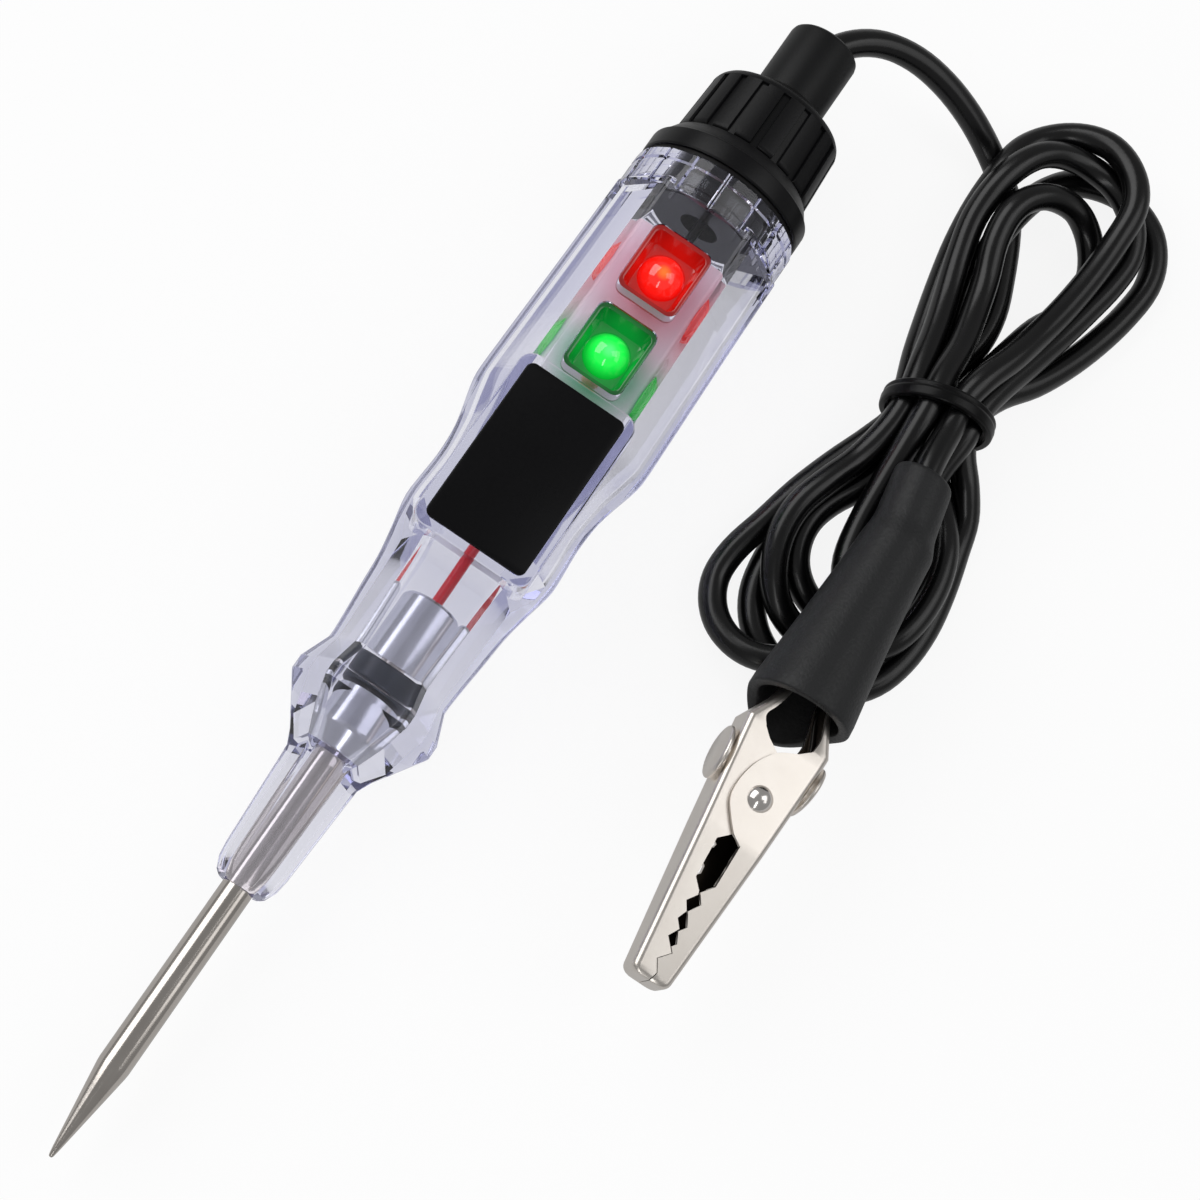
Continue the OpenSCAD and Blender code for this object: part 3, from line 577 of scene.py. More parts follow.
class TestPenColours(bpy.types.PropertyGroup):
    """Colours of the pen's materials, as sRGB hex."""
    clear: StringProperty(name="Clear plastic", description="Tint of the clear handle",
                          default="#8C8FBE")
    cap: StringProperty(name="Cap", description="Colour of the screw cap", default="#0A0A0C")
    lead: StringProperty(name="Lead", description="Colour of the lead's jacket", default="#050506")
    boot: StringProperty(name="Boot", description="Colour of the clip's boot", default="#131416")
    label: StringProperty(name="Plate", description="Colour of the bare plate", default="#08080A")
    clip: StringProperty(name="Clip", description="Colour of the clip's plating", default="#E6E0D9")


# ---- stage ----

FLOOR_HALF = 3.0
PAPER_SHINE = 0.88
WHITE = (1, 1, 1, 1)
# Name, place, width, length and power of each light
LIGHTS = [("back_panel", (0.15, 0.66, 0.6), 0.9, 0.6, 3.6),
          ("front_panel", (0.3, -0.62, 0.62), 0.8, 0.34, 0.8),
          ("clip_panel", (0.25, -0.33, 0.68), 0.34, 0.34, 0.44),
          ("side_strip", (-0.6, -0.1, 0.45), 0.1, 0.7, 0.8)]
CAMERA_LENS = 87.0
CAMERA_AT = (-0.091702, -0.013610, 0.292353)
CAMERA_AHEAD = (0.32262, 0.0, -0.94653)
CAMERA_RIGHT = (0.53224, -0.82693, 0.18141)


def first_mirrored(tree, path, limit):
    """1 for a ray mirrored straight from what the camera sees, 0 for one through clear plastic."""
    deep = add(tree, "ShaderNodeMath", {0: path["Ray Depth"], 1: limit}, operation="GREATER_THAN")
    through = add(tree, "ShaderNodeMath", {0: path["Is Transmission Ray"], 1: deep},
                  operation="MAXIMUM")
    return add(tree, "ShaderNodeMath", {0: path["Is Glossy Ray"], 1: through},
               operation="SUBTRACT", use_clamp=True)


def paper_floor():
    """White paper that shines for the camera and darkens away from the pen and in mirrored rays."""
    mat, tree, coords = material("studio_paper_white")
    path = add(tree, "ShaderNodeLightPath").outputs
    seen = add(tree, "ShaderNodeMath", {0: path["Is Camera Ray"], 1: path["Is Glossy Ray"]},
               operation="MAXIMUM")
    seen = add(tree, "ShaderNodeMath", {0: seen, 1: path["Is Transmission Ray"]},
               operation="MAXIMUM")
    share = add(tree, "ShaderNodeMath", {0: seen, 1: PAPER_SHINE}, operation="MULTIPLY")
    away = add(tree, "ShaderNodeVectorMath", {0: coords}, operation="LENGTH")
    fade = add(tree, "ShaderNodeMapRange",
               {"Value": away, "From Min": 0.16, "From Max": 0.5, "To Min": 1.0, "To Max": 0.32})
    gloss = add(tree, "ShaderNodeMapRange",
                {"Value": first_mirrored(tree, path, 1.5), "To Min": 1.0, "To Max": 0.5})
    level = add(tree, "ShaderNodeMath", {0: fade, 1: gloss}, operation="MULTIPLY")
    paper = add(tree, "ShaderNodeBsdfDiffuse", {"Color": linear("#F4F4F5")})
    white = add(tree, "ShaderNodeEmission", {"Color": WHITE, "Strength": level})
    mix = add(tree, "ShaderNodeMixShader", {"Fac": share, 1: paper, 2: white})
    add(tree, "ShaderNodeOutputMaterial", {"Surface": mix})
    return mat


class PEN_OT_stage(bpy.types.Operator):
    """Floor, soft lights and the camera"""
    bl_idname = "testpen.stage"
    bl_label = "Stage"

    def execute(self, context):
        scene = context.scene
        scene.view_settings.view_transform = "Standard"
        mesh = bpy.data.meshes.new("floor")
        corners = [(x * FLOOR_HALF, y * FLOOR_HALF, 0)
                   for x, y in ((-1, -1), (1, -1), (1, 1), (-1, 1))]
        mesh.from_pydata(corners, [], [(0, 1, 2, 3)])
        mesh.materials.append(paper_floor())
        floor = new_object("floor", mesh)

        scene.world = bpy.data.worlds.new("studio")
        scene.world.use_nodes = True
        tree = scene.world.node_tree
        tree.nodes.clear()
        path = add(tree, "ShaderNodeLightPath").outputs
        # The world counts a ray one step deeper than a surface does
        level = add(tree, "ShaderNodeMapRange",
                    {"Value": first_mirrored(tree, path, 2.5), "To Min": 0.5, "To Max": 0.28})
        room = add(tree, "ShaderNodeBackground", {"Color": WHITE, "Strength": level})
        add(tree, "ShaderNodeOutputWorld", {"Surface": room})

        for name, at, width, length, power in LIGHTS:
            light = bpy.data.lights.new(name, "AREA")
            light.shape = "RECTANGLE"
            light.size, light.size_y, light.energy = width, length, power
            obj = new_object(name, light)
            obj.location = at
            obj.rotation_euler = (-Vector(at)).to_track_quat("-Z", "Y").to_euler()

        data = bpy.data.cameras.new("camera")
        data.lens, data.sensor_width, data.sensor_fit = CAMERA_LENS, 36.0, "HORIZONTAL"
        data.clip_start, data.clip_end = 0.01, 20.0
        ahead, right = Vector(CAMERA_AHEAD).normalized(), Vector(CAMERA_RIGHT).normalized()
        turn = Matrix((right, right.cross(ahead), -ahead)).transposed()
        scene.camera = new_object("camera", data)
        scene.camera.matrix_world = Matrix.Translation(CAMERA_AT) @ turn.to_4x4()
        return {"FINISHED"}


# ---- the lead ----

# Route of the lead in millimetres: sleeve, down to the floor, four folds each side of the tie, boot
ROUTE = [
    (56.5, 0, 11), (62.1, 0, 11.2), (67.3, 0, 11.5), (71.3, -0.6, 11.7), (74.3, -2.4, 11.4),
    (76.7, -5.1, 10.6), (78.3, -8.8, 9.2), (78.9, -13, 7.3), (78.7, -17.3, 5), (77.9, -21.1, 2.7),
    (76.6, -23.8, 1.6), (74.4, -26.3, 1.6), (70.7, -28.5, 1.6), (65.8, -30.6, 1.6),
    (61.2, -32.1, 1.7), (57.1, -32.4, 1.8), (52.5, -31.5, 2), (48, -30.8, 2.5), (44.2, -31.3, 2.6),
    (40.7, -31, 2.3), (36.1, -29.2, 1.9), (31.2, -27.4, 1.6), (26.4, -26.1, 1.6),
    (21.9, -25.9, 1.6), (17.8, -26.7, 1.6), (15, -28.5, 1.6), (13.2, -31, 1.6), (12.3, -34.2, 1.6),
    (12.8, -37.7, 1.6), (14.4, -40.7, 1.6), (17, -42.9, 1.7), (20.7, -44.1, 1.7),
    (25.2, -44.4, 1.7), (30.2, -43.8, 1.6), (35, -42.7, 1.7), (38.4, -41.6, 2.6),
    (40.9, -39.6, 4.1), (43.4, -37.4, 4.8), (45.9, -36.2, 5), (48.8, -36.2, 4.8),
    (52.2, -37.4, 4.1), (56.2, -39.9, 3.2), (60.7, -41.9, 2.4), (65.6, -43.5, 1.8),
    (70.5, -44.6, 1.6), (75, -45, 1.6), (78.2, -44.2, 1.7), (80.7, -42.4, 1.9), (82.2, -39.7, 2),
    (82.7, -36.8, 2), (82, -33.8, 2), (80.4, -31.3, 2.3), (77.6, -29.5, 3.2), (73.8, -28.3, 4.4),
    (70, -27.7, 4.5), (65.5, -27.7, 3.7), (60.9, -28.3, 3.2), (56.4, -29.3, 3.8),
    (51.7, -30.6, 5.1), (47.2, -31.9, 6), (42.9, -32.4, 6.1), (38.5, -31.8, 5.4),
    (34.2, -30.2, 4.7), (30.3, -28.2, 4.5), (27.2, -27.4, 4.5), (24.6, -27.7, 4.1),
    (22.4, -28.9, 3.5), (20.9, -30.9, 2.8), (20.2, -33.3, 2.3), (20.5, -35.8, 1.8),
    (21.8, -38, 1.6), (23.8, -39.6, 1.6), (26.3, -40.4, 1.9), (28.9, -40.2, 2.4), (32, -38.6, 3.4),
    (35.4, -36.6, 5), (39.2, -36, 6.5), (43.6, -36.2, 7.8), (47.2, -36, 8.1), (51.3, -36.7, 7.4),
    (56.3, -38, 6.2), (61.2, -39.2, 5.1), (66.4, -40.3, 4.5), (71.5, -41.2, 4.2),
    (75.3, -41.3, 4.2), (78.1, -40.2, 4.5), (80.4, -38, 4.8), (81.6, -35.3, 5), (81.7, -32.3, 5.3),
    (80.7, -29.2, 6.2), (78.7, -26.8, 7.2), (75.9, -25.2, 7.6), (72, -24.2, 7.3),
    (67.6, -24.1, 6.4), (63, -25.1, 5.6), (58.4, -26.3, 5.5), (53.5, -27.4, 6.3),
    (48.5, -28.2, 7.4), (44.1, -28.9, 7.9), (40, -28.9, 7.5), (35.4, -28, 6.9), (31, -26.5, 7.1),
    (27, -25.4, 6.9), (23.4, -25.6, 6.1), (20.2, -27, 5), (17.8, -29.2, 3.9), (16.7, -31.9, 3),
    (16.6, -34.9, 2.5), (17.3, -37.8, 2.8), (19, -40.3, 3.5), (21.5, -42, 4.2), (25.1, -42.8, 4.4),
    (29.5, -42.6, 4.4), (33.5, -41.3, 4.3), (37.2, -38.8, 3.6), (40.8, -36.1, 3),
    (44.5, -34.4, 2.7), (48.4, -34, 2.5), (52.9, -34.7, 2.4), (58, -35.8, 2.4), (62.6, -37, 1.9),
    (66.4, -38.8, 1.6), (69.5, -39.3, 1.6), (72, -38.8, 2.1), (74.1, -37.4, 3), (75.5, -35.5, 4.1),
    (76, -33.3, 5.4), (75.4, -31.1, 6.5), (73.9, -29.1, 7.5), (71.8, -27.7, 8), (69.1, -27.1, 8),
    (65.8, -27.5, 7.5), (61.8, -28.9, 6.8), (57.3, -29.9, 7.1), (52.6, -30.6, 8.2),
    (47.7, -30.7, 9.6), (43.7, -31.1, 10.1), (39.4, -31.4, 9.3), (34.4, -31.7, 7.6),
    (29.6, -32.1, 6.1), (25.6, -32.9, 5.5), (21.9, -34.7, 5.7), (18.7, -35.7, 5.7),
    (16, -35.5, 5.5), (13.7, -34.3, 5.1), (11.9, -32.4, 4.6), (11.1, -30, 4), (11.3, -27.5, 3.3),
    (12.4, -25.2, 2.8), (14.3, -23.4, 2.6), (16.8, -22.4, 2.5), (20.1, -22.4, 2.9),
    (24.6, -23.5, 3.6), (29.4, -24.6, 3.9), (34.4, -26.2, 4), (39.4, -28.1, 4.3),
    (42.9, -29.1, 4.7), (46.2, -28.5, 4.6), (50.9, -27.2, 3.7), (56, -26.1, 2.8),
    (60.9, -25.1, 2.4), (65.7, -24.2, 2.8), (70.6, -23.7, 3.8), (75.2, -23.8, 4.7),
    (78.7, -24.3, 4.6), (81.3, -25.6, 4.6), (83.3, -27.7, 5.2), (84.3, -30.2, 6.2),
    (84.3, -32.7, 7.1), (83.1, -35.3, 7.8), (81.1, -37.3, 8.2), (78.4, -38.5, 8.2),
    (74.3, -38.7, 7.8), (69.1, -38.5, 7.7), (63.9, -37.9, 7.9), (59, -37, 8.5), (54.1, -35.9, 9.7),
    (49.7, -34.5, 10.4), (46.3, -33.9, 10.3), (42.5, -34.3, 10.5), (37.7, -34.5, 11.5),
    (32.9, -35.2, 12), (28.2, -36.1, 11.9), (23.4, -35.9, 12)]


class PEN_OT_lead(bpy.types.Operator):
    """The lead: one jacket from the sleeve through the tied hank into the boot"""
    bl_idname = "testpen.lead"
    bl_label = "Lead"

    def execute(self, context):
        line = along_curve(ROUTE, 4)
        data = bpy.data.curves.new("lead", "CURVE")
        data.dimensions = "3D"
        spline = data.splines.new("POLY")
        spline.points.add(len(line) - 1)
        for point, p in zip(spline.points, line):
            point.co = (*(p * MM), 1)
        data.bevel_depth = context.scene.pen_sizes.lead_diameter / 2
        data.bevel_resolution = 5
        data.use_fill_caps = True
        lead = new_object("lead", data)
        placed(lead, "lead_black", "lead", "lead_tail", "lead_hank", "lead_end")
        context.scene["lead_length"] = sum((b - a).length for a, b in zip(line, line[1:])) * MM
        return {"FINISHED"}


# ---- the pen ----

# Half width across the corners along the handle: straight runs between creases up to the grip,
# then flowing
NOSE = [(31.4, 2.25), (31.55, 2.5), (31.9, 2.9), (33.1, 3.45), (34.6, 3.66), (46.1, 4.25),
        (47.6, 4.95), (52.7, 8.2), (53.0, 8.34), (54.5, 8.34), (57.7, 7.1)]
HEX = [(57.7, 7.1), (58.7, 7.1), (61.4, 7.3), (64.38, 7.57), (67.48, 7.8), (69.44, 8.1),
       (71.72, 8.55), (73.67, 8.97), (74.98, 9.13), (76.93, 9.05), (80.19, 8.87), (83.45, 9.05),
       (85.57, 9.49), (87.69, 10.05), (89.0, 10.35), (90.3, 10.5), (94.3, 10.46), (102, 10.32),
       (109, 10.21), (116.9, 10.12)]


# Half height of the bore behind, and how far its corners stay inside the handle's half width
BORE_FLAT, BORE_TOP_IN, BORE_SIDE_IN = 6.3, 4.68, 1.75


def handle_half(x):
    """The handle's half width across its corners at a place along it."""
    if x < GRIP_X:
        return lookup(x, NOSE)
    i = next((i for i, (end, _) in enumerate(HEX[1:]) if x <= end), len(HEX) - 2)
    (x0, y0), (x1, y1) = HEX[i], HEX[i + 1]
    xa, ya = HEX[max(i - 1, 0)]
    xb, yb = HEX[min(i + 2, len(HEX) - 1)]
    h = x1 - x0
    t = min(max((x - x0) / h, 0), 1)
    m0 = (y1 - ya) / (x1 - xa) * h
    m1 = (yb - y0) / (xb - x0) * h
    return ((2 * t ** 3 - 3 * t ** 2 + 1) * y0 + (t ** 3 - 2 * t ** 2 + t) * m0
            + (-2 * t ** 3 + 3 * t ** 2) * y1 + (t ** 3 - t ** 2) * m1)


def six_sided_ring(x, r, fillet):
    """Six-sided ring with rounded corners, flat at the top and bottom."""
    mid = r - fillet
    return [(x, mid * math.cos(a) + fillet * math.cos(b), mid * math.sin(a) + fillet * math.sin(b))
            for a in [math.tau * i / 6 for i in range(6)]
            for b in [a + math.pi / 6 * step for step in (-1, -0.5, 0, 0.5, 1)]]


def bore_ring(x, flat, top, side):
    """Six-cornered ring of a bore, flat above and below."""
    half = [(x, side, 0), (x, top, flat), (x, -top, flat)]
    return half + [(x, -y, -z) for _, y, z in half]


def fluted_ring(x, r, count=16):
    """Round ring with a narrow groove between its segments."""
    half = math.pi / count
    return [(x, (r - drop) * math.cos(a), (r - drop) * math.sin(a))
            for i in range(count)
            for a, drop in [(half * (2 * i + 1 + across), drop) for across, drop in (
                (-0.87, 0.0), (0.0, 0.05), (0.87, 0.0), (0.95, 0.35), (1.05, 0.35))]]


class PEN_OT_handle(bpy.types.Operator):
    """The clear six-sided handle with its collar, pad, bores and pockets"""
    bl_idname = "testpen.handle"
    bl_label = "Clear handle"

    def execute(self, context):
        corner = context.scene.pen_sizes.corner_radius / MM
        grip_xs = [GRIP_X + 0.8 + 0.9 * k for k in range(65)]
        xs = sorted([x for x, _ in NOSE] + [38.0, 42.0] + grip_xs) + [116.9]
        rings = [six_sided_ring(x, r, min(corner, 0.2 * r))
                 for x, r in [(x, handle_half(x)) for x in xs]]
        shell = solid("clear_handle", rings)

        rim = HANDLE_END - 1.5
        collar = [fluted_ring(x, r) for x, r in (
            (COLLAR_X, 9.75), (COLLAR_X + 0.15, 9.93), (rim - 0.15, 9.95), (rim, 9.65),
            (rim + 0.15, 9.65), (rim + 0.3, 9.95), (HANDLE_END - 0.15, 9.93), (HANDLE_END, 9.78))]
        combined(shell, solid("collar", collar), "UNION")
        pad = plate(PAD_MIDDLE, PAD_END - PAD_X, PAD_W, 1.7, 3.0, PAD_TOP, 0.3)
        combined(shell, solid("pad", pad), "UNION")
        # A flat-sided bore, square at the front and six-sided behind, shows what is in it at its
        # true width
        square = [(30, ROD_R + 0.06), (47.8, ROD_R + 0.06), (48.1, 2.5), (50.8, 3.76), (71.5, 3.76)]
        hollow = [bore_ring(x, flat, flat, flat) for x, flat in square]
        for x in (74.8, 80.2, 85.6, 90.3, 104.0, 117.0):
            r = handle_half(min(x, COLLAR_X))
            hollow.append(bore_ring(x, BORE_FLAT, r - BORE_TOP_IN, r - BORE_SIDE_IN))
        combined(shell, solid("hollow", hollow))
        combined(shell, turned_solid("mouth", [(116.8, 0), (116.8, 6.5), (122, 6.5), (122, 0)]))
        recess = plate(PAD_MIDDLE, 19.7, 11.9, 0.9, PAD_TOP - 0.2, PAD_TOP + 1)
        combined(shell, solid("recess", recess))
        for x in WINDOW_XS:
            combined(shell, solid("pocket", plate(x, 8.4, 7.2, 1.1, 2.0, 12.0)))
        welded(shell.data, SHELL_WELD, outwards=False)
        shell.data.transform(PEN)
        smooth(shell, 16.5)
        placed(flattened(shell), "clear_plastic", "clear", "handle_shell")
        return {"FINISHED"}


class PEN_OT_plate(bpy.types.Operator):
    """The bare black plate on the handle's pad"""
    bl_idname = "testpen.plate"
    bl_label = "Plate"

    def execute(self, context):
        rings = plate(PAD_MIDDLE, 19.66, 11.86, 0.9, PAD_TOP - 0.18, PAD_TOP + 0.2, 0.15)
        obj = solid("black_plate", rings, PEN, 40)
        for mat in ("label", "backing"):
            obj.data.materials.append(finish(mat))
        for face in obj.data.polygons:
            face.material_index = int(face.normal.z < -0.5)
        placed(obj, "label_black", None, "label_plate")
        return {"FINISHED"}


def window_cup(name, x):
    """A coloured cup with a rim, sloped walls and a round hole for its lamp."""
    top, bottom = WINDOW_TOP - 0.15, WINDOW_TOP - 3.2
    rings = [rounded_loop(x, 8.36 - narrower, 7.16 - slimmer, r, z)
             for narrower, slimmer, r, z in (
                 (0, 0, 1.1, bottom), (0, 0, 1.1, top - 0.12), (0.08, 0.08, 1.08, top - 0.03),
                 (0.2, 0.2, 1.02, top), (0.9, 0.9, 0.75, top), (1.02, 1.02, 0.72, top - 0.04),
                 (1.1, 1.1, 0.7, top - 0.14), (2.3, 1.9, 0.7, bottom + 0.75),
                 (2.5, 2.1, 0.8, bottom + 0.62))]
    rings += [round_loop(x, r, bottom + up) for r, up in ((2.56, 0.6), (2.52, 0.55), (2.52, 0))]
    return solid(name, rings, PEN, 35, looped=True)


def lamp(name, x):
    """A round lamp with a foot ring and a domed top."""
    top, foot = WINDOW_TOP - 0.6, BOARD_TOP
    profile = [(foot, 0), (foot, 2.85), (foot + 0.9, 2.85), (foot + 0.9, 2.5),
               *arc(top - 2.5, 0, 2.5, 90, 0, 14)]
    upright = Matrix(((0, 1, 0, x), (0, 0, 1, 0), (1, 0, 0, 0), (0, 0, 0, 1)))
    return turned_solid(name, profile, PEN @ upright, 64, 35)


class PEN_OT_lamps(bpy.types.Operator):
    """The green and red windows with the lamps in them"""
    bl_idname = "testpen.lamps"
    bl_label = "Lamps"

    def execute(self, context):
        for colour, x in zip(("green", "red"), WINDOW_XS):
            slot = colour + "_plastic"
            placed(window_cup(colour + "_cup", x), slot, colour + "_cup", colour + "_window")
            placed(lamp(colour + "_dome", x), slot, colour + "_lamp", colour + "_lamp")
        return {"FINISHED"}


class PEN_OT_inside(bpy.types.Operator):
    """What shows inside the clear handle: board, resistors, wires, ferrule, seal and barrel"""
    bl_idname = "testpen.inside"
    bl_label = "Inside"

    def execute(self, context):
        start, end, width = 76.0, 113.45, 10.4
        board = plate((start + end) / 2, end - start, width, 0.4, BOARD_TOP - 1.2, BOARD_TOP, 0.08)
        placed(solid("board", board, PEN, 40), "board_laminate", "board", "circuit_board")

        r, cap_r, length = 0.85, 1.0, 5.0
        half = [(0, 0), (0.15, cap_r * 0.75), (0.5, cap_r), (1.1, cap_r), (1.5, r)]
        profile = half + [(length - x, radius) for x, radius in reversed(half)]
        bodies = [solid("resistor", turned([(start + x, radius) for x, radius in profile],
                                           32, (0, BOARD_TOP + 1.0)), PEN, 45)
                  for start in (80.0, 87.0)]
        placed(joined("resistors", bodies), "resistor_body", "resistor", "board_resistors")

        red = along_curve([(66.0, 0, 0), (69.0, 0, 0.1), (72.5, 0, 0.9), (76.0, 0, 3.05),
                           (78.5, 0, 2.75)], 6)
        placed(solid("red_lead_in", tube(red, 0.62, 14), PEN, 60), "wire_red", "wire_red",
               "red_wire")
        black = along_curve([(110.95, 0, 2.75), (113.45, 0, 2.75), (116.5, 0, 1.4),
                             (121.0, 0, 0.2), (126.2, 0, 0), (128.5, 0, 0)], 6)
        placed(solid("black_lead_in", tube(black, 0.55, 14), PEN, 60), "lead_black", "wire_black",
               "black_wire")

        ferrule = [(48.25, 1.72), (48.25, 2.35), (50.5, 3.45), (54.4, 3.45), (54.4, 1.72)]
        ring = [(54.8, 1.42), (54.8, 3.68), (57.5, 3.68), (57.5, 1.42)]
        barrel = [(57.9, 1.42), (57.9, 3.28), (58.05, 3.38), (65.75, 3.38), (66.1, 3.1),
                  (66.1, 2.4), (65.7, 2.2), (65.7, 0), (62.4, 0), (62.4, 1.42)]
        for name, profile, ease, slot, mat, node in (
                ("ferrule", ferrule, 0.15, "tinned_metal", "tinned", "probe_ferrule"),
                ("seal", ring, 0.35, "seal_rubber", "seal", "seal_ring"),
                ("barrel", barrel, 0.06, "tinned_metal", "tinned", "contact_barrel")):
            placed(turned_solid(name, profile, PEN, r=ease), slot, mat, node)
        return {"FINISHED"}


class PEN_OT_probe(bpy.types.Operator):
    """The steel rod with its pointed cone"""
    bl_idname = "testpen.probe"
    bl_label = "Probe"

    def execute(self, context):
        blunt, cone = 0.25, 10.3
        profile = [(0.0, 0), (0.02, 0.14), (0.12, 0.22), (0.3, 0.27)]
        profile += [(cone * t, blunt + (ROD_R - blunt) * t) for t in (0.1, 0.25, 0.5, 0.75, 0.97)]
        profile += [(10.5, ROD_R), (20, ROD_R), (54.5, ROD_R), (54.5, ROD_IN_R), (62.2, ROD_IN_R),
                    (62.2, 0)]
        placed(turned_solid("probe", profile, PEN, 96, 20), "probe_nickel", "rod", "probe_rod")
        return {"FINISHED"}


def repeat_tree(name):
    """Geometry Nodes: copies a mesh a number of times, each turned on by a step about X."""
    tree = bpy.data.node_groups.new(name, "GeometryNodeTree")
    for label, kind, way in (("Geometry", "Geometry", "INPUT"), ("Count", "Int", "INPUT"),
                             ("Turn step", "Float", "INPUT"), ("Material", "Material", "INPUT"),
                             ("Geometry", "Geometry", "OUTPUT")):
        tree.interface.new_socket(label, in_out=way, socket_type="NodeSocket" + kind)
    given = add(tree, "NodeGroupInput").outputs
    turn = add(tree, "ShaderNodeMath",
               {0: add(tree, "GeometryNodeInputIndex"), 1: given["Turn step"]},
               operation="MULTIPLY")
    spin = add(tree, "ShaderNodeCombineXYZ", {"X": turn})
    points = add(tree, "GeometryNodePoints", {"Count": given["Count"]})
    copies = add(tree, "GeometryNodeInstanceOnPoints",
                 {"Points": points, "Instance": given["Geometry"], "Rotation": spin})
    real = add(tree, "GeometryNodeRealizeInstances", {0: copies})
    dressed = add(tree, "GeometryNodeSetMaterial",
                  {"Geometry": real, "Material": given["Material"]})
    add(tree, "NodeGroupOutput", {0: dressed})
    return tree


DRUM_R = 8.3
DRUM_TAPER = 0.36
RIB_GROOVE = 0.3 / DRUM_R


def drum_radius(x):
    """The cap's drum, tapered a little towards the lead."""
    return DRUM_R - DRUM_TAPER * (x - DRUM_X) / (RIB_END - DRUM_X)


def rib_section(x, height, lift, half):
    """Section of a rib at x, lifted out of its groove, over half an angle to each side."""
    r = drum_radius(x) - height
    ring = []
    for j in range(13):
        s = -1 + 2 * j / 12
        edge = max(1 - max(0.0, (abs(s) - 0.86) / 0.14) ** 2, 0.0)
        foot = 0.0 if 0 < j < 12 else 0.15
        ring.append((s, r + lift * edge - foot))
    ring += [(s, r - 0.4) for s in (1, 0, -1)]
    return [(x, out * math.cos(half * s), out * math.sin(half * s)) for s, out in ring]


class PEN_OT_cap(bpy.types.Operator):
    """The ribbed screw cap, its gasket and the soft sleeve"""
    bl_idname = "testpen.cap"
    bl_label = "Cap"

    def execute(self, context):
        sizes = context.scene.pen_sizes
        height, count = sizes.rib_height / MM, sizes.rib_count
        rib_end_r = drum_radius(RIB_END)
        outer = [
            (CAP_X - 4, 2.3), (CAP_X - 4, 6.0), (CAP_X - 3.6, 6.45), (CAP_X, 6.45), (CAP_X, 9.55),
            (CAP_X + 0.06, 9.72), (CAP_X + 0.25, 9.8), (CAP_X + 2.1, 9.8), (CAP_X + 2.25, 9.77),
            (CAP_X + 2.38, 9.66), (CAP_X + 2.45, 9.52), (DRUM_X - 0.3, 8.62), (DRUM_X - 0.1, 8.4),
            (DRUM_X + 0.1, DRUM_R - height), (RIB_END - 0.1, rib_end_r - height),
            (RIB_END, rib_end_r - 0.05), (RIB_END + 0.06, rib_end_r + 0.01), (RIB_END + 0.3, 7.88),
            (RIB_END + 0.55, 7.77), (RIB_END + 0.78, 7.58), (RIB_END + 0.84, 7.44),
            (DRUM_END - 0.22, 4.95), (DRUM_END - 0.06, 4.66), (DRUM_END - 0.05, 4.3),
            (DRUM_END - 0.3, 4.17), (133.02, 4.17), (133.02, 5.22), (131.48, 5.22), (131.48, 2.3)]
        body = turned_solid("cap_body", outer, count=180, angle=16)
        half = math.pi / count - RIB_GROOVE
        places = [0.0, 0.02, 0.045, 0.08] + [0.1 + 0.9 * k / 10 for k in range(11)]
        sections = [rib_section(DRUM_X + 0.05 + (RIB_END - DRUM_X) * t, height,
                                height * min(1.0, math.sqrt(t / 0.06)), half) for t in places]
        rib = solid("rib", sections, angle=35)
        ribs = modified(rib, "NODES", {"Count": count, "Turn step": math.tau / count,
                                       "Material": finish("cap")},
                        node_group=repeat_tree("rib_repeat"))
        cap = joined("cap", [body, ribs])
        cap.data.transform(PEN)
        placed(cap, "cap_black", "cap", "screw_cap")
        gasket = [(HANDLE_END + 0.02, 6.47), (HANDLE_END + 0.02, 9.55), (CAP_X, 9.55),
                  (CAP_X, 6.47)]
        placed(turned_solid("gasket", gasket, PEN, r=0.15), "soft_black", "gasket", "cap_gasket")
        sleeve = [(131.5, 1.6), (131.5, 5.2), (133.0, 5.2), (133.0, 4.15), (142.9, 4.15),
                  (143.3, 4.05), (143.55, 3.8), (143.6, 3.45), (143.4, 3.2), (142.4, 2.75),
                  (140.6, 2.1), (139.0, 1.6)]
        placed(turned_solid("sleeve", sleeve, PEN), "soft_black", "sleeve", "cord_sleeve")
        return {"FINISHED"}


# The tie stands on the floor round the hank
TIE_RADII = (5.65, 6.45)
TIE_AT = (45, -32.6)
TIE_TURN = math.radians(11.6)


class PEN_OT_tie(bpy.types.Operator):
    """The rubber band round the hank"""
    bl_idname = "testpen.tie"
    bl_label = "Tie"

    def execute(self, context):
        half = context.scene.pen_sizes.tie_width / MM / 2
        inner, outer = TIE_RADII
        section = [
            (0.05 - half, inner), (half - 0.05, inner), (half, inner + 0.06),
            (half + 0.02, inner + 0.3), (half - 0.06, outer - 0.12), (half - 0.25, outer - 0.02),
            (half - 0.5, outer - 0.06), (0.35 * half, outer - 0.1), (0.15 * half, outer + 0.02),
            (0.0, outer + 0.05), (-0.6 * half, outer), (0.2 - half, outer - 0.03),
            (0.05 - half, outer - 0.12), (-half, outer - 0.3), (-half, inner + 0.06)]
        place = (Matrix.Scale(MM, 4) @ Matrix.Translation((*TIE_AT, outer))
                 @ Matrix.Rotation(TIE_TURN, 4, "Z"))
        placed(turned_solid("tie", section, place, 128, 60, 0.08), "soft_black", "tie", "hank_tie")
        return {"FINISHED"}


# ---- the clip ----

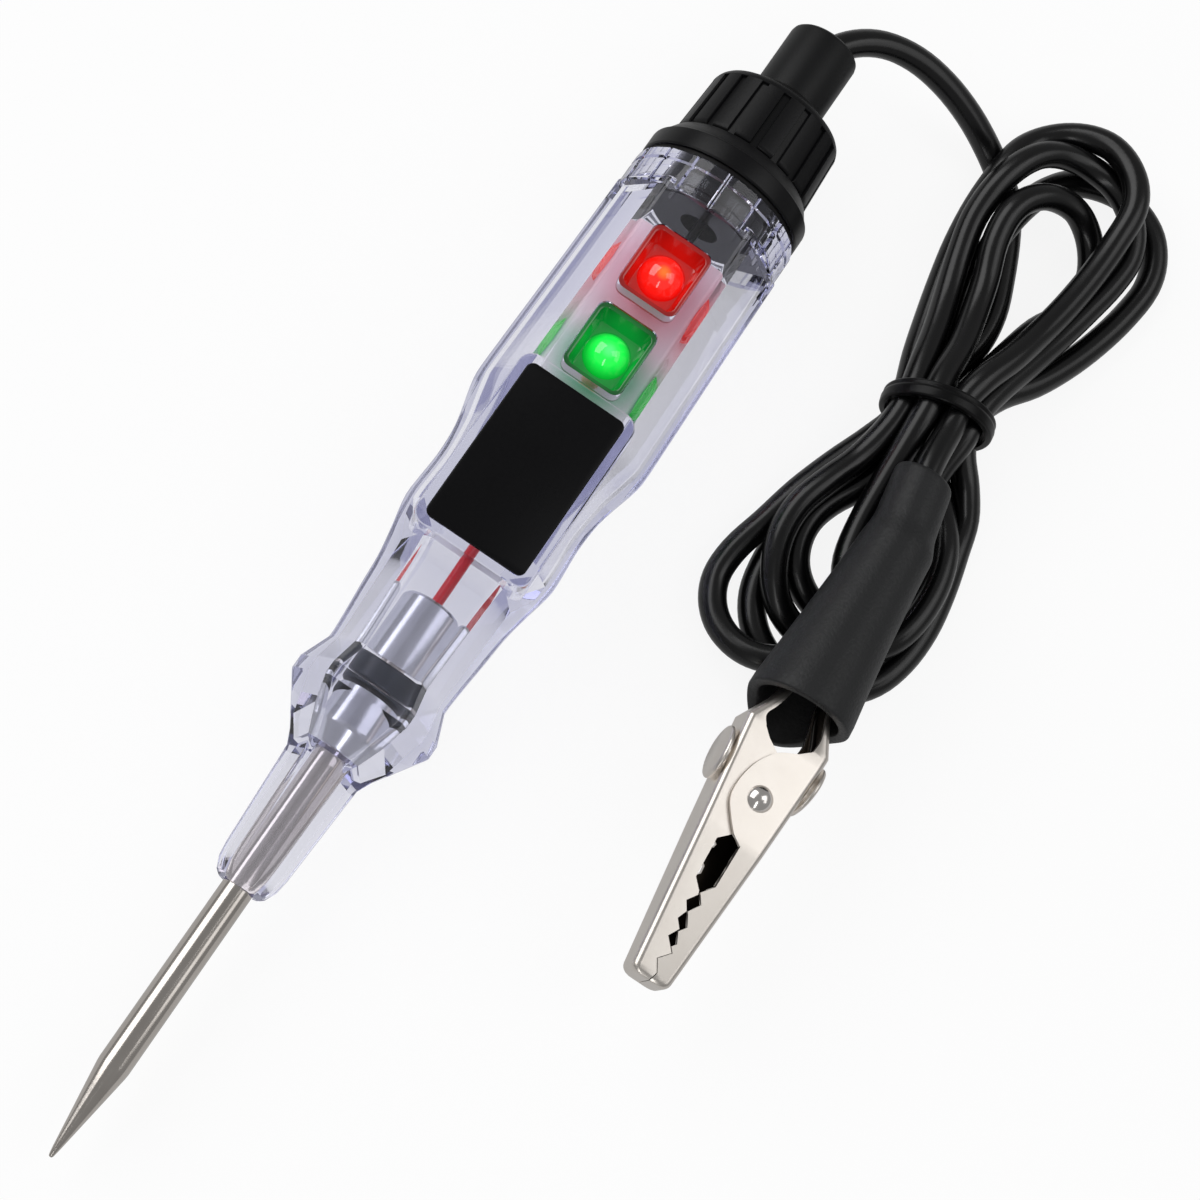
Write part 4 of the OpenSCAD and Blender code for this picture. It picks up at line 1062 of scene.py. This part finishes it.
# Toothed edges, backs and spare metal of the jaws' side plates, along the clip from its nose
FIXED_EDGE = [
    (0, 0.05), (1.05, -0.25), (2.3, 0.5), (3.5, -0.55), (4.8, 0.65), (5.95, 0), (6.8, 0.72),
    (7.85, 0.28), (8.8, 0.88), (9.9, 0.1), (10.3, 0.25), (11.3, 1.25), (15.8, 1.4), (16.9, 0.3),
    (18, -0.9), (19.5, -1.55), (21.3, -1.95), (22.6, -2.1), (24.5, -1.8), (25.7, -1.05),
    (26.6, 0.2), (27.6, 1.85), (28.4, 2.7), (29.5, 3.3), (31, 2.7), (32.9, 2.1), (34.2, 2),
    (45, 2), (48, 2)]
MOVING_EDGE = [
    (0, 0.03), (1.05, 0.33), (2.3, -0.42), (3.5, 0.63), (4, 0.17), (4.5, 0.55), (5.65, -0.02),
    (6.45, 0.58), (7.85, -0.2), (9.1, 0.62), (10.1, -0.1), (11.4, 0.95), (16.2, 1), (16.9, -0.2),
    (18.2, -1.3), (19.9, -2.4), (21.8, -2.55), (24.2, -2), (25.6, -1.25), (26.6, -0.45),
    (27.7, 1.5), (28.8, 2.75), (30.4, 2.95), (32.9, 2.35), (34.2, 2), (42, 2)]
FIXED_BACK = [(0, 2.25), (28.8, 4.95), (32.4, 3), (33.6, 2.65), (48, 2.55)]
MOVING_BACK = [(0, 2.25), (29.2, 4.75), (32.9, 3.1), (34, 2.65), (42, 2.6)]
# Spare metal on the moving jaw's far plate closes most of its hole, which then shows the jaw's dark
# inside: a sheet put in for the shade seen through that hole
FAR_PLATE = [(10.7, 0), (11.5, 1.2), (12.6, 1.3), (13.2, 0.8), (14.0, 0.85), (14.6, 1.5),
             (15.9, 1.6), (16.7, 0)]
PIVOT_X, PIVOT_Y = 21.5, -0.35
SHEET = 0.5
FOLD = 0.75


def drawn_in(x, r):
    """How far a round nose of radius r has drawn in at x."""
    return 0.0 if x >= r else r - math.sqrt(max(0.0, r * r - (r - x) ** 2))


def rounded_edge(points, first, last):
    """The edge with its lobe drawn as a smooth curve between two places, its teeth left sharp."""
    keep = [p for p in points if p[0] < first or p[0] > last]
    lobe = [(x, y, 0) for x, y in points if first <= x <= last]
    return sorted(keep + [(v.x, v.y) for v in along_curve(lobe, 5)])


def jaw(name, edge, back, w, side, spare=()):
    """A jaw of folded sheet: two toothed side plates, the far one with spare metal that stands in
    for the shade in its hole, on a back.
    """
    half = [(0, 1.9), (16.5, w), (28, w), (33, 2.2), (42, 2.2), (48, 1.5)]
    edge = rounded_edge(rounded_edge(edge, 16.5, 27.8), 27.9, 34.3)
    far = edge[-1][0]
    stations = sorted({0.0, 0.04, 0.12, 0.25, 0.4, 0.6, 0.8} | {x for x, _ in edge if x > 0.9}
                      | {x for x, _ in back if 0.9 < x < far} | {x for x, _ in spare})

    def section(x, r, t, e, nose):
        """Section at x: corner radius r, t inside the sheet's outer face, down to an edge at e."""
        top = lookup(x, back) - drawn_in(x - t, nose) - t
        wide = lookup(x, half) - drawn_in(x - t, 0.5) * 0.8 - t
        r = min(r, wide - 0.05, 0.8 * (top - e))
        ring = [(x, e - (lookup(x, spare) if spare else 0.0), -wide)]
        ring += [(x, y, z) for z, y in arc(r - wide, top - r, r, 180, 90, 5)]
        ring += [(x, y, z) for z, y in arc(wide - r, top - r, r, 90, 0, 5)]
        return ring + [(x, e, wide)]

    inner_xs = [SHEET + d for d in (0.02, 0.06, 0.15, 0.3)]
    inner_xs += [x for x in stations if x > 0.9] + [far + 1]
    obj = solid(name, [section(x, FOLD, 0.0, lookup(x, edge), 0.9) for x in stations])
    inside = solid("hollow", [section(x, FOLD - SHEET + 0.05, SHEET, lookup(x, edge) - 4, 0.5)
                              for x in inner_xs])
    for part in (obj, inside):
        for mat in ("clip", "clip_inside_shade"):
            part.data.materials.append(finish(mat))
    # The hollow's faces take the jaws' inside material, whose dark brown is painted shade
    for face in inside.data.polygons:
        face.material_index = 1
    combined(obj, inside)
    modified(obj, "BEVEL", width=0.07, segments=2, limit_method="ANGLE",
             angle_limit=math.radians(40))
    obj.data.transform(Matrix.Scale(side, 4, (0, 1, 0)))
    welded(obj.data, JAW_WELD, degenerate=False)
    obj.data.transform(CLIP)
    smooth(obj, 25)
    return flattened(obj)


def on_back(x, side):
    """A frame on a jaw's back at one place, its X axis square to the sheet and outwards."""
    back = FIXED_BACK if side > 0 else MOVING_BACK
    slope = math.atan((back[1][1] - back[0][1]) / (back[1][0] - back[0][0]))
    return (CLIP @ Matrix.Translation((x, side * lookup(x, back), 0))
            @ Matrix.Rotation(side * (math.pi / 2 + slope), 4, "Z"))


def spring_line(wire):
    """The middle of the spring's wire: a leg under one back, the coil, a leg under the other."""
    coil_r, turns, steps = 1.75, 3, 20
    rise = 2 * wire + 0.05
    low = -turns * rise / 2
    coil = [Vector((PIVOT_X + coil_r * math.sin(math.tau * i / steps),
                    PIVOT_Y - coil_r * math.cos(math.tau * i / steps), low + rise * i / steps))
            for i in range(turns * steps + 1)]
    leg_in = along_curve([(37, -1.9, low), (33, -2.45, low), (30, -3.6, low), (28, -3.75, low),
                          (24.5, -2.6, low), coil[0]], 5)
    leg_out = along_curve([coil[-1], (24.0, -0.9, -low), (26.0, 2.2, -low), (28.0, 3.55, -low),
                           (30, 3.6, -low), (33, 2.35, -low), (37, 1.9, -low)], 5)
    return leg_in[:-1] + coil + leg_out[1:]


class PEN_OT_clip(bpy.types.Operator):
    """The alligator clip: jaws, rivet, spring, screws, nuts and crimp"""
    bl_idname = "testpen.clip"
    bl_label = "Clip"

    def execute(self, context):
        fixed = jaw("fixed_side", FIXED_EDGE, FIXED_BACK, 2.5, 1)
        placed(fixed, "clip_steel", None, "fixed_jaw")
        moving = jaw("moving_side", MOVING_EDGE, MOVING_BACK, 3.05, -1, FAR_PLATE)
        placed(moving, "clip_steel", None, "moving_jaw", body="jaw")

        head_z, head_h, head_r = 3.08, 0.8, 1.4
        dome = (head_h ** 2 + head_r ** 2) / (2 * head_h)
        cap = [(head_z + head_h - dome + dome * math.cos(a), dome * math.sin(a))
               for a in [math.asin(min(1, head_r / dome)) * k / 10 for k in range(11)]]
        profile = cap + [(head_z, head_r), (head_z, 1.0)]
        profile = profile + [(-x, r) for x, r in reversed(profile)]
        place = (CLIP @ Matrix.Translation((PIVOT_X, PIVOT_Y, 0))
                 @ Matrix.Rotation(-math.pi / 2, 4, "Y"))
        placed(turned_solid("rivet", profile, place, 64, 40), "clip_steel", "rivet", "clip_rivet")

        inside = SHEET + 1.1 + 0.3
        across = 3.6 / 2 / math.cos(math.pi / 6)
        screw = [(-inside, 0), (-inside, 1.2), (0, 1.2), (0, 1.9), (0.35, 1.9), (0.35, 2.95),
                 (0.45, 3.0), (0.6, 2.98), (0.75, 2.85), (0.85, 2.6), (0.85, 0)]
        nut = [(0.25 - inside, 1.22), (0.25 - inside, across - 0.15), (0.4 - inside, across),
               (-SHEET - 0.2, across), (-SHEET - 0.05, across - 0.15), (-SHEET - 0.05, 1.22)]
        for label, x, side, body in (("fixed", 24.2, 1, "pen"), ("moving", 25.8, -1, "jaw")):
            place = on_back(x, side)
            placed(turned_solid(label + "_stud", screw, place, 64, 35), "clip_steel", "clip",
                   label + "_screw", body=body)
            placed(turned_solid(label + "_hex", nut, place, 6, 20), "clip_steel", "nut",
                   label + "_nut", body=body)

        wire = 0.3
        spring = solid("spring", tube(spring_line(wire), wire, 10), CLIP, 60)
        spring.data.materials.append(finish("spring"))
        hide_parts("clip_spring")
        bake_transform(spring)
        crimp = turned([(44, 0), (44, 1.9), (44.1, 2.0), (45.6, 2.0), (45.8, 1.8), (46.6, 1.8),
                        (46.8, 2.0), (49.9, 2.0), (50, 1.9), (50, 0)], 48, (0.05, 0))
        placed(solid("crimp", crimp, CLIP, 35, looped=True), "tinned_metal", "tinned",
               "lead_ferrule")
        return {"FINISHED"}


# The boot's outside and inside: place along the clip, radius and height of the middle
BOOT = [(32.5, 5.6, 0.0), (32.56, 5.76, 0.0), (32.75, 5.85, 0.0), (37.5, 5.4, -0.06),
        (42.5, 4.9, -0.15), (47.5, 4.47, -0.27), (52.5, 4.1, -0.4), (53.6, 4.04, -0.44),
        (54.2, 3.95, -0.44), (54.7, 3.83, -0.39), (55.3, 3.68, -0.29), (56.0, 3.55, -0.17),
        (57.5, 3.48, 0.06), (60, 3.4, 0.4), (61.2, 3.36, 0.56), (61.6, 3.32, 0.62),
        (61.85, 3.2, 0.66), (61.97, 3.05, 0.68), (62, 2.85, 0.68)]
BOOT_IN = [(62, 1.61, 0.68), (55.2, 1.61, -0.3), (54.2, 2.68, -0.45), (42.5, 3.6, -0.15),
           (33.0, 4.5, 0.0), (32.6, 4.62, 0.0), (32.5, 4.75, 0.0)]
SEAM = 0.09
LIP_REACH = 2.8


def boot_ring(x, r, mid, seamed):
    """A ring of the boot, whose lip reaches on away from the rivet's head and whose seam dips."""
    ring = []
    for a in [math.tau * j / 96 for j in range(96)]:
        near = min(abs(a - math.pi * 0.43), abs(a - math.pi * 1.43))
        out = r - SEAM * math.exp(-(near / 0.035) ** 2) if seamed else r
        reach = LIP_REACH * max(0.0, -math.sin(a)) ** 3 * max(0.0, (42 - x) / 9.5)
        ring.append((x - reach, mid + out * math.cos(a), out * math.sin(a)))
    return ring


class PEN_OT_boot(bpy.types.Operator):
    """The soft boot over the clip's handles"""
    bl_idname = "testpen.boot"
    bl_label = "Boot"

    def execute(self, context):
        rings = [boot_ring(*p, seamed=32.7 < p.x < 61.8) for p in along_curve(BOOT, 3)]
        rings += [boot_ring(*p, seamed=False) for p in BOOT_IN]
        placed(solid("boot", rings, CLIP, 50, looped=True), "soft_black", "boot", "clip_boot")
        return {"FINISHED"}


# Takes no step: it returns at once
class PEN_OT_declare(bpy.types.Operator):
    bl_idname = "testpen.declare"
    bl_label = "Empty step"

    def execute(self, context):
        return {"FINISHED"}


class PEN_PT_panel(bpy.types.Panel):
    """Lists the pen's pieces, sizes and colours"""
    bl_idname = "PEN_PT_panel"
    bl_label = "Test pen"
    bl_space_type = "VIEW_3D"
    bl_region_type = "UI"
    bl_category = "Test pen"

    def draw(self, context):
        for group in (context.scene.pen_sizes, context.scene.pen_colours):
            for key in group.__annotations__:
                self.layout.prop(group, key)
        for operator in OPERATORS:
            self.layout.operator(operator.bl_idname)


# In the order in which main() calls them
OPERATORS = (PEN_OT_stage, PEN_OT_lead, PEN_OT_handle, PEN_OT_plate, PEN_OT_lamps, PEN_OT_inside,
             PEN_OT_probe, PEN_OT_cap, PEN_OT_tie, PEN_OT_clip, PEN_OT_boot, PEN_OT_declare)
CLASSES = (TestPenSizes, TestPenColours, *OPERATORS, PEN_PT_panel)


def register():
    for cls in CLASSES:
        bpy.utils.register_class(cls)
    bpy.types.Scene.pen_sizes = PointerProperty(type=TestPenSizes)
    bpy.types.Scene.pen_colours = PointerProperty(type=TestPenColours)


def unregister():
    del bpy.types.Scene.pen_colours
    del bpy.types.Scene.pen_sizes
    for cls in reversed(CLASSES):
        bpy.utils.unregister_class(cls)


def main():
    register()
    for operator in OPERATORS:
        getattr(bpy.ops.testpen, operator.bl_idname.split(".")[1])()


if __name__ == "__main__":
    main()
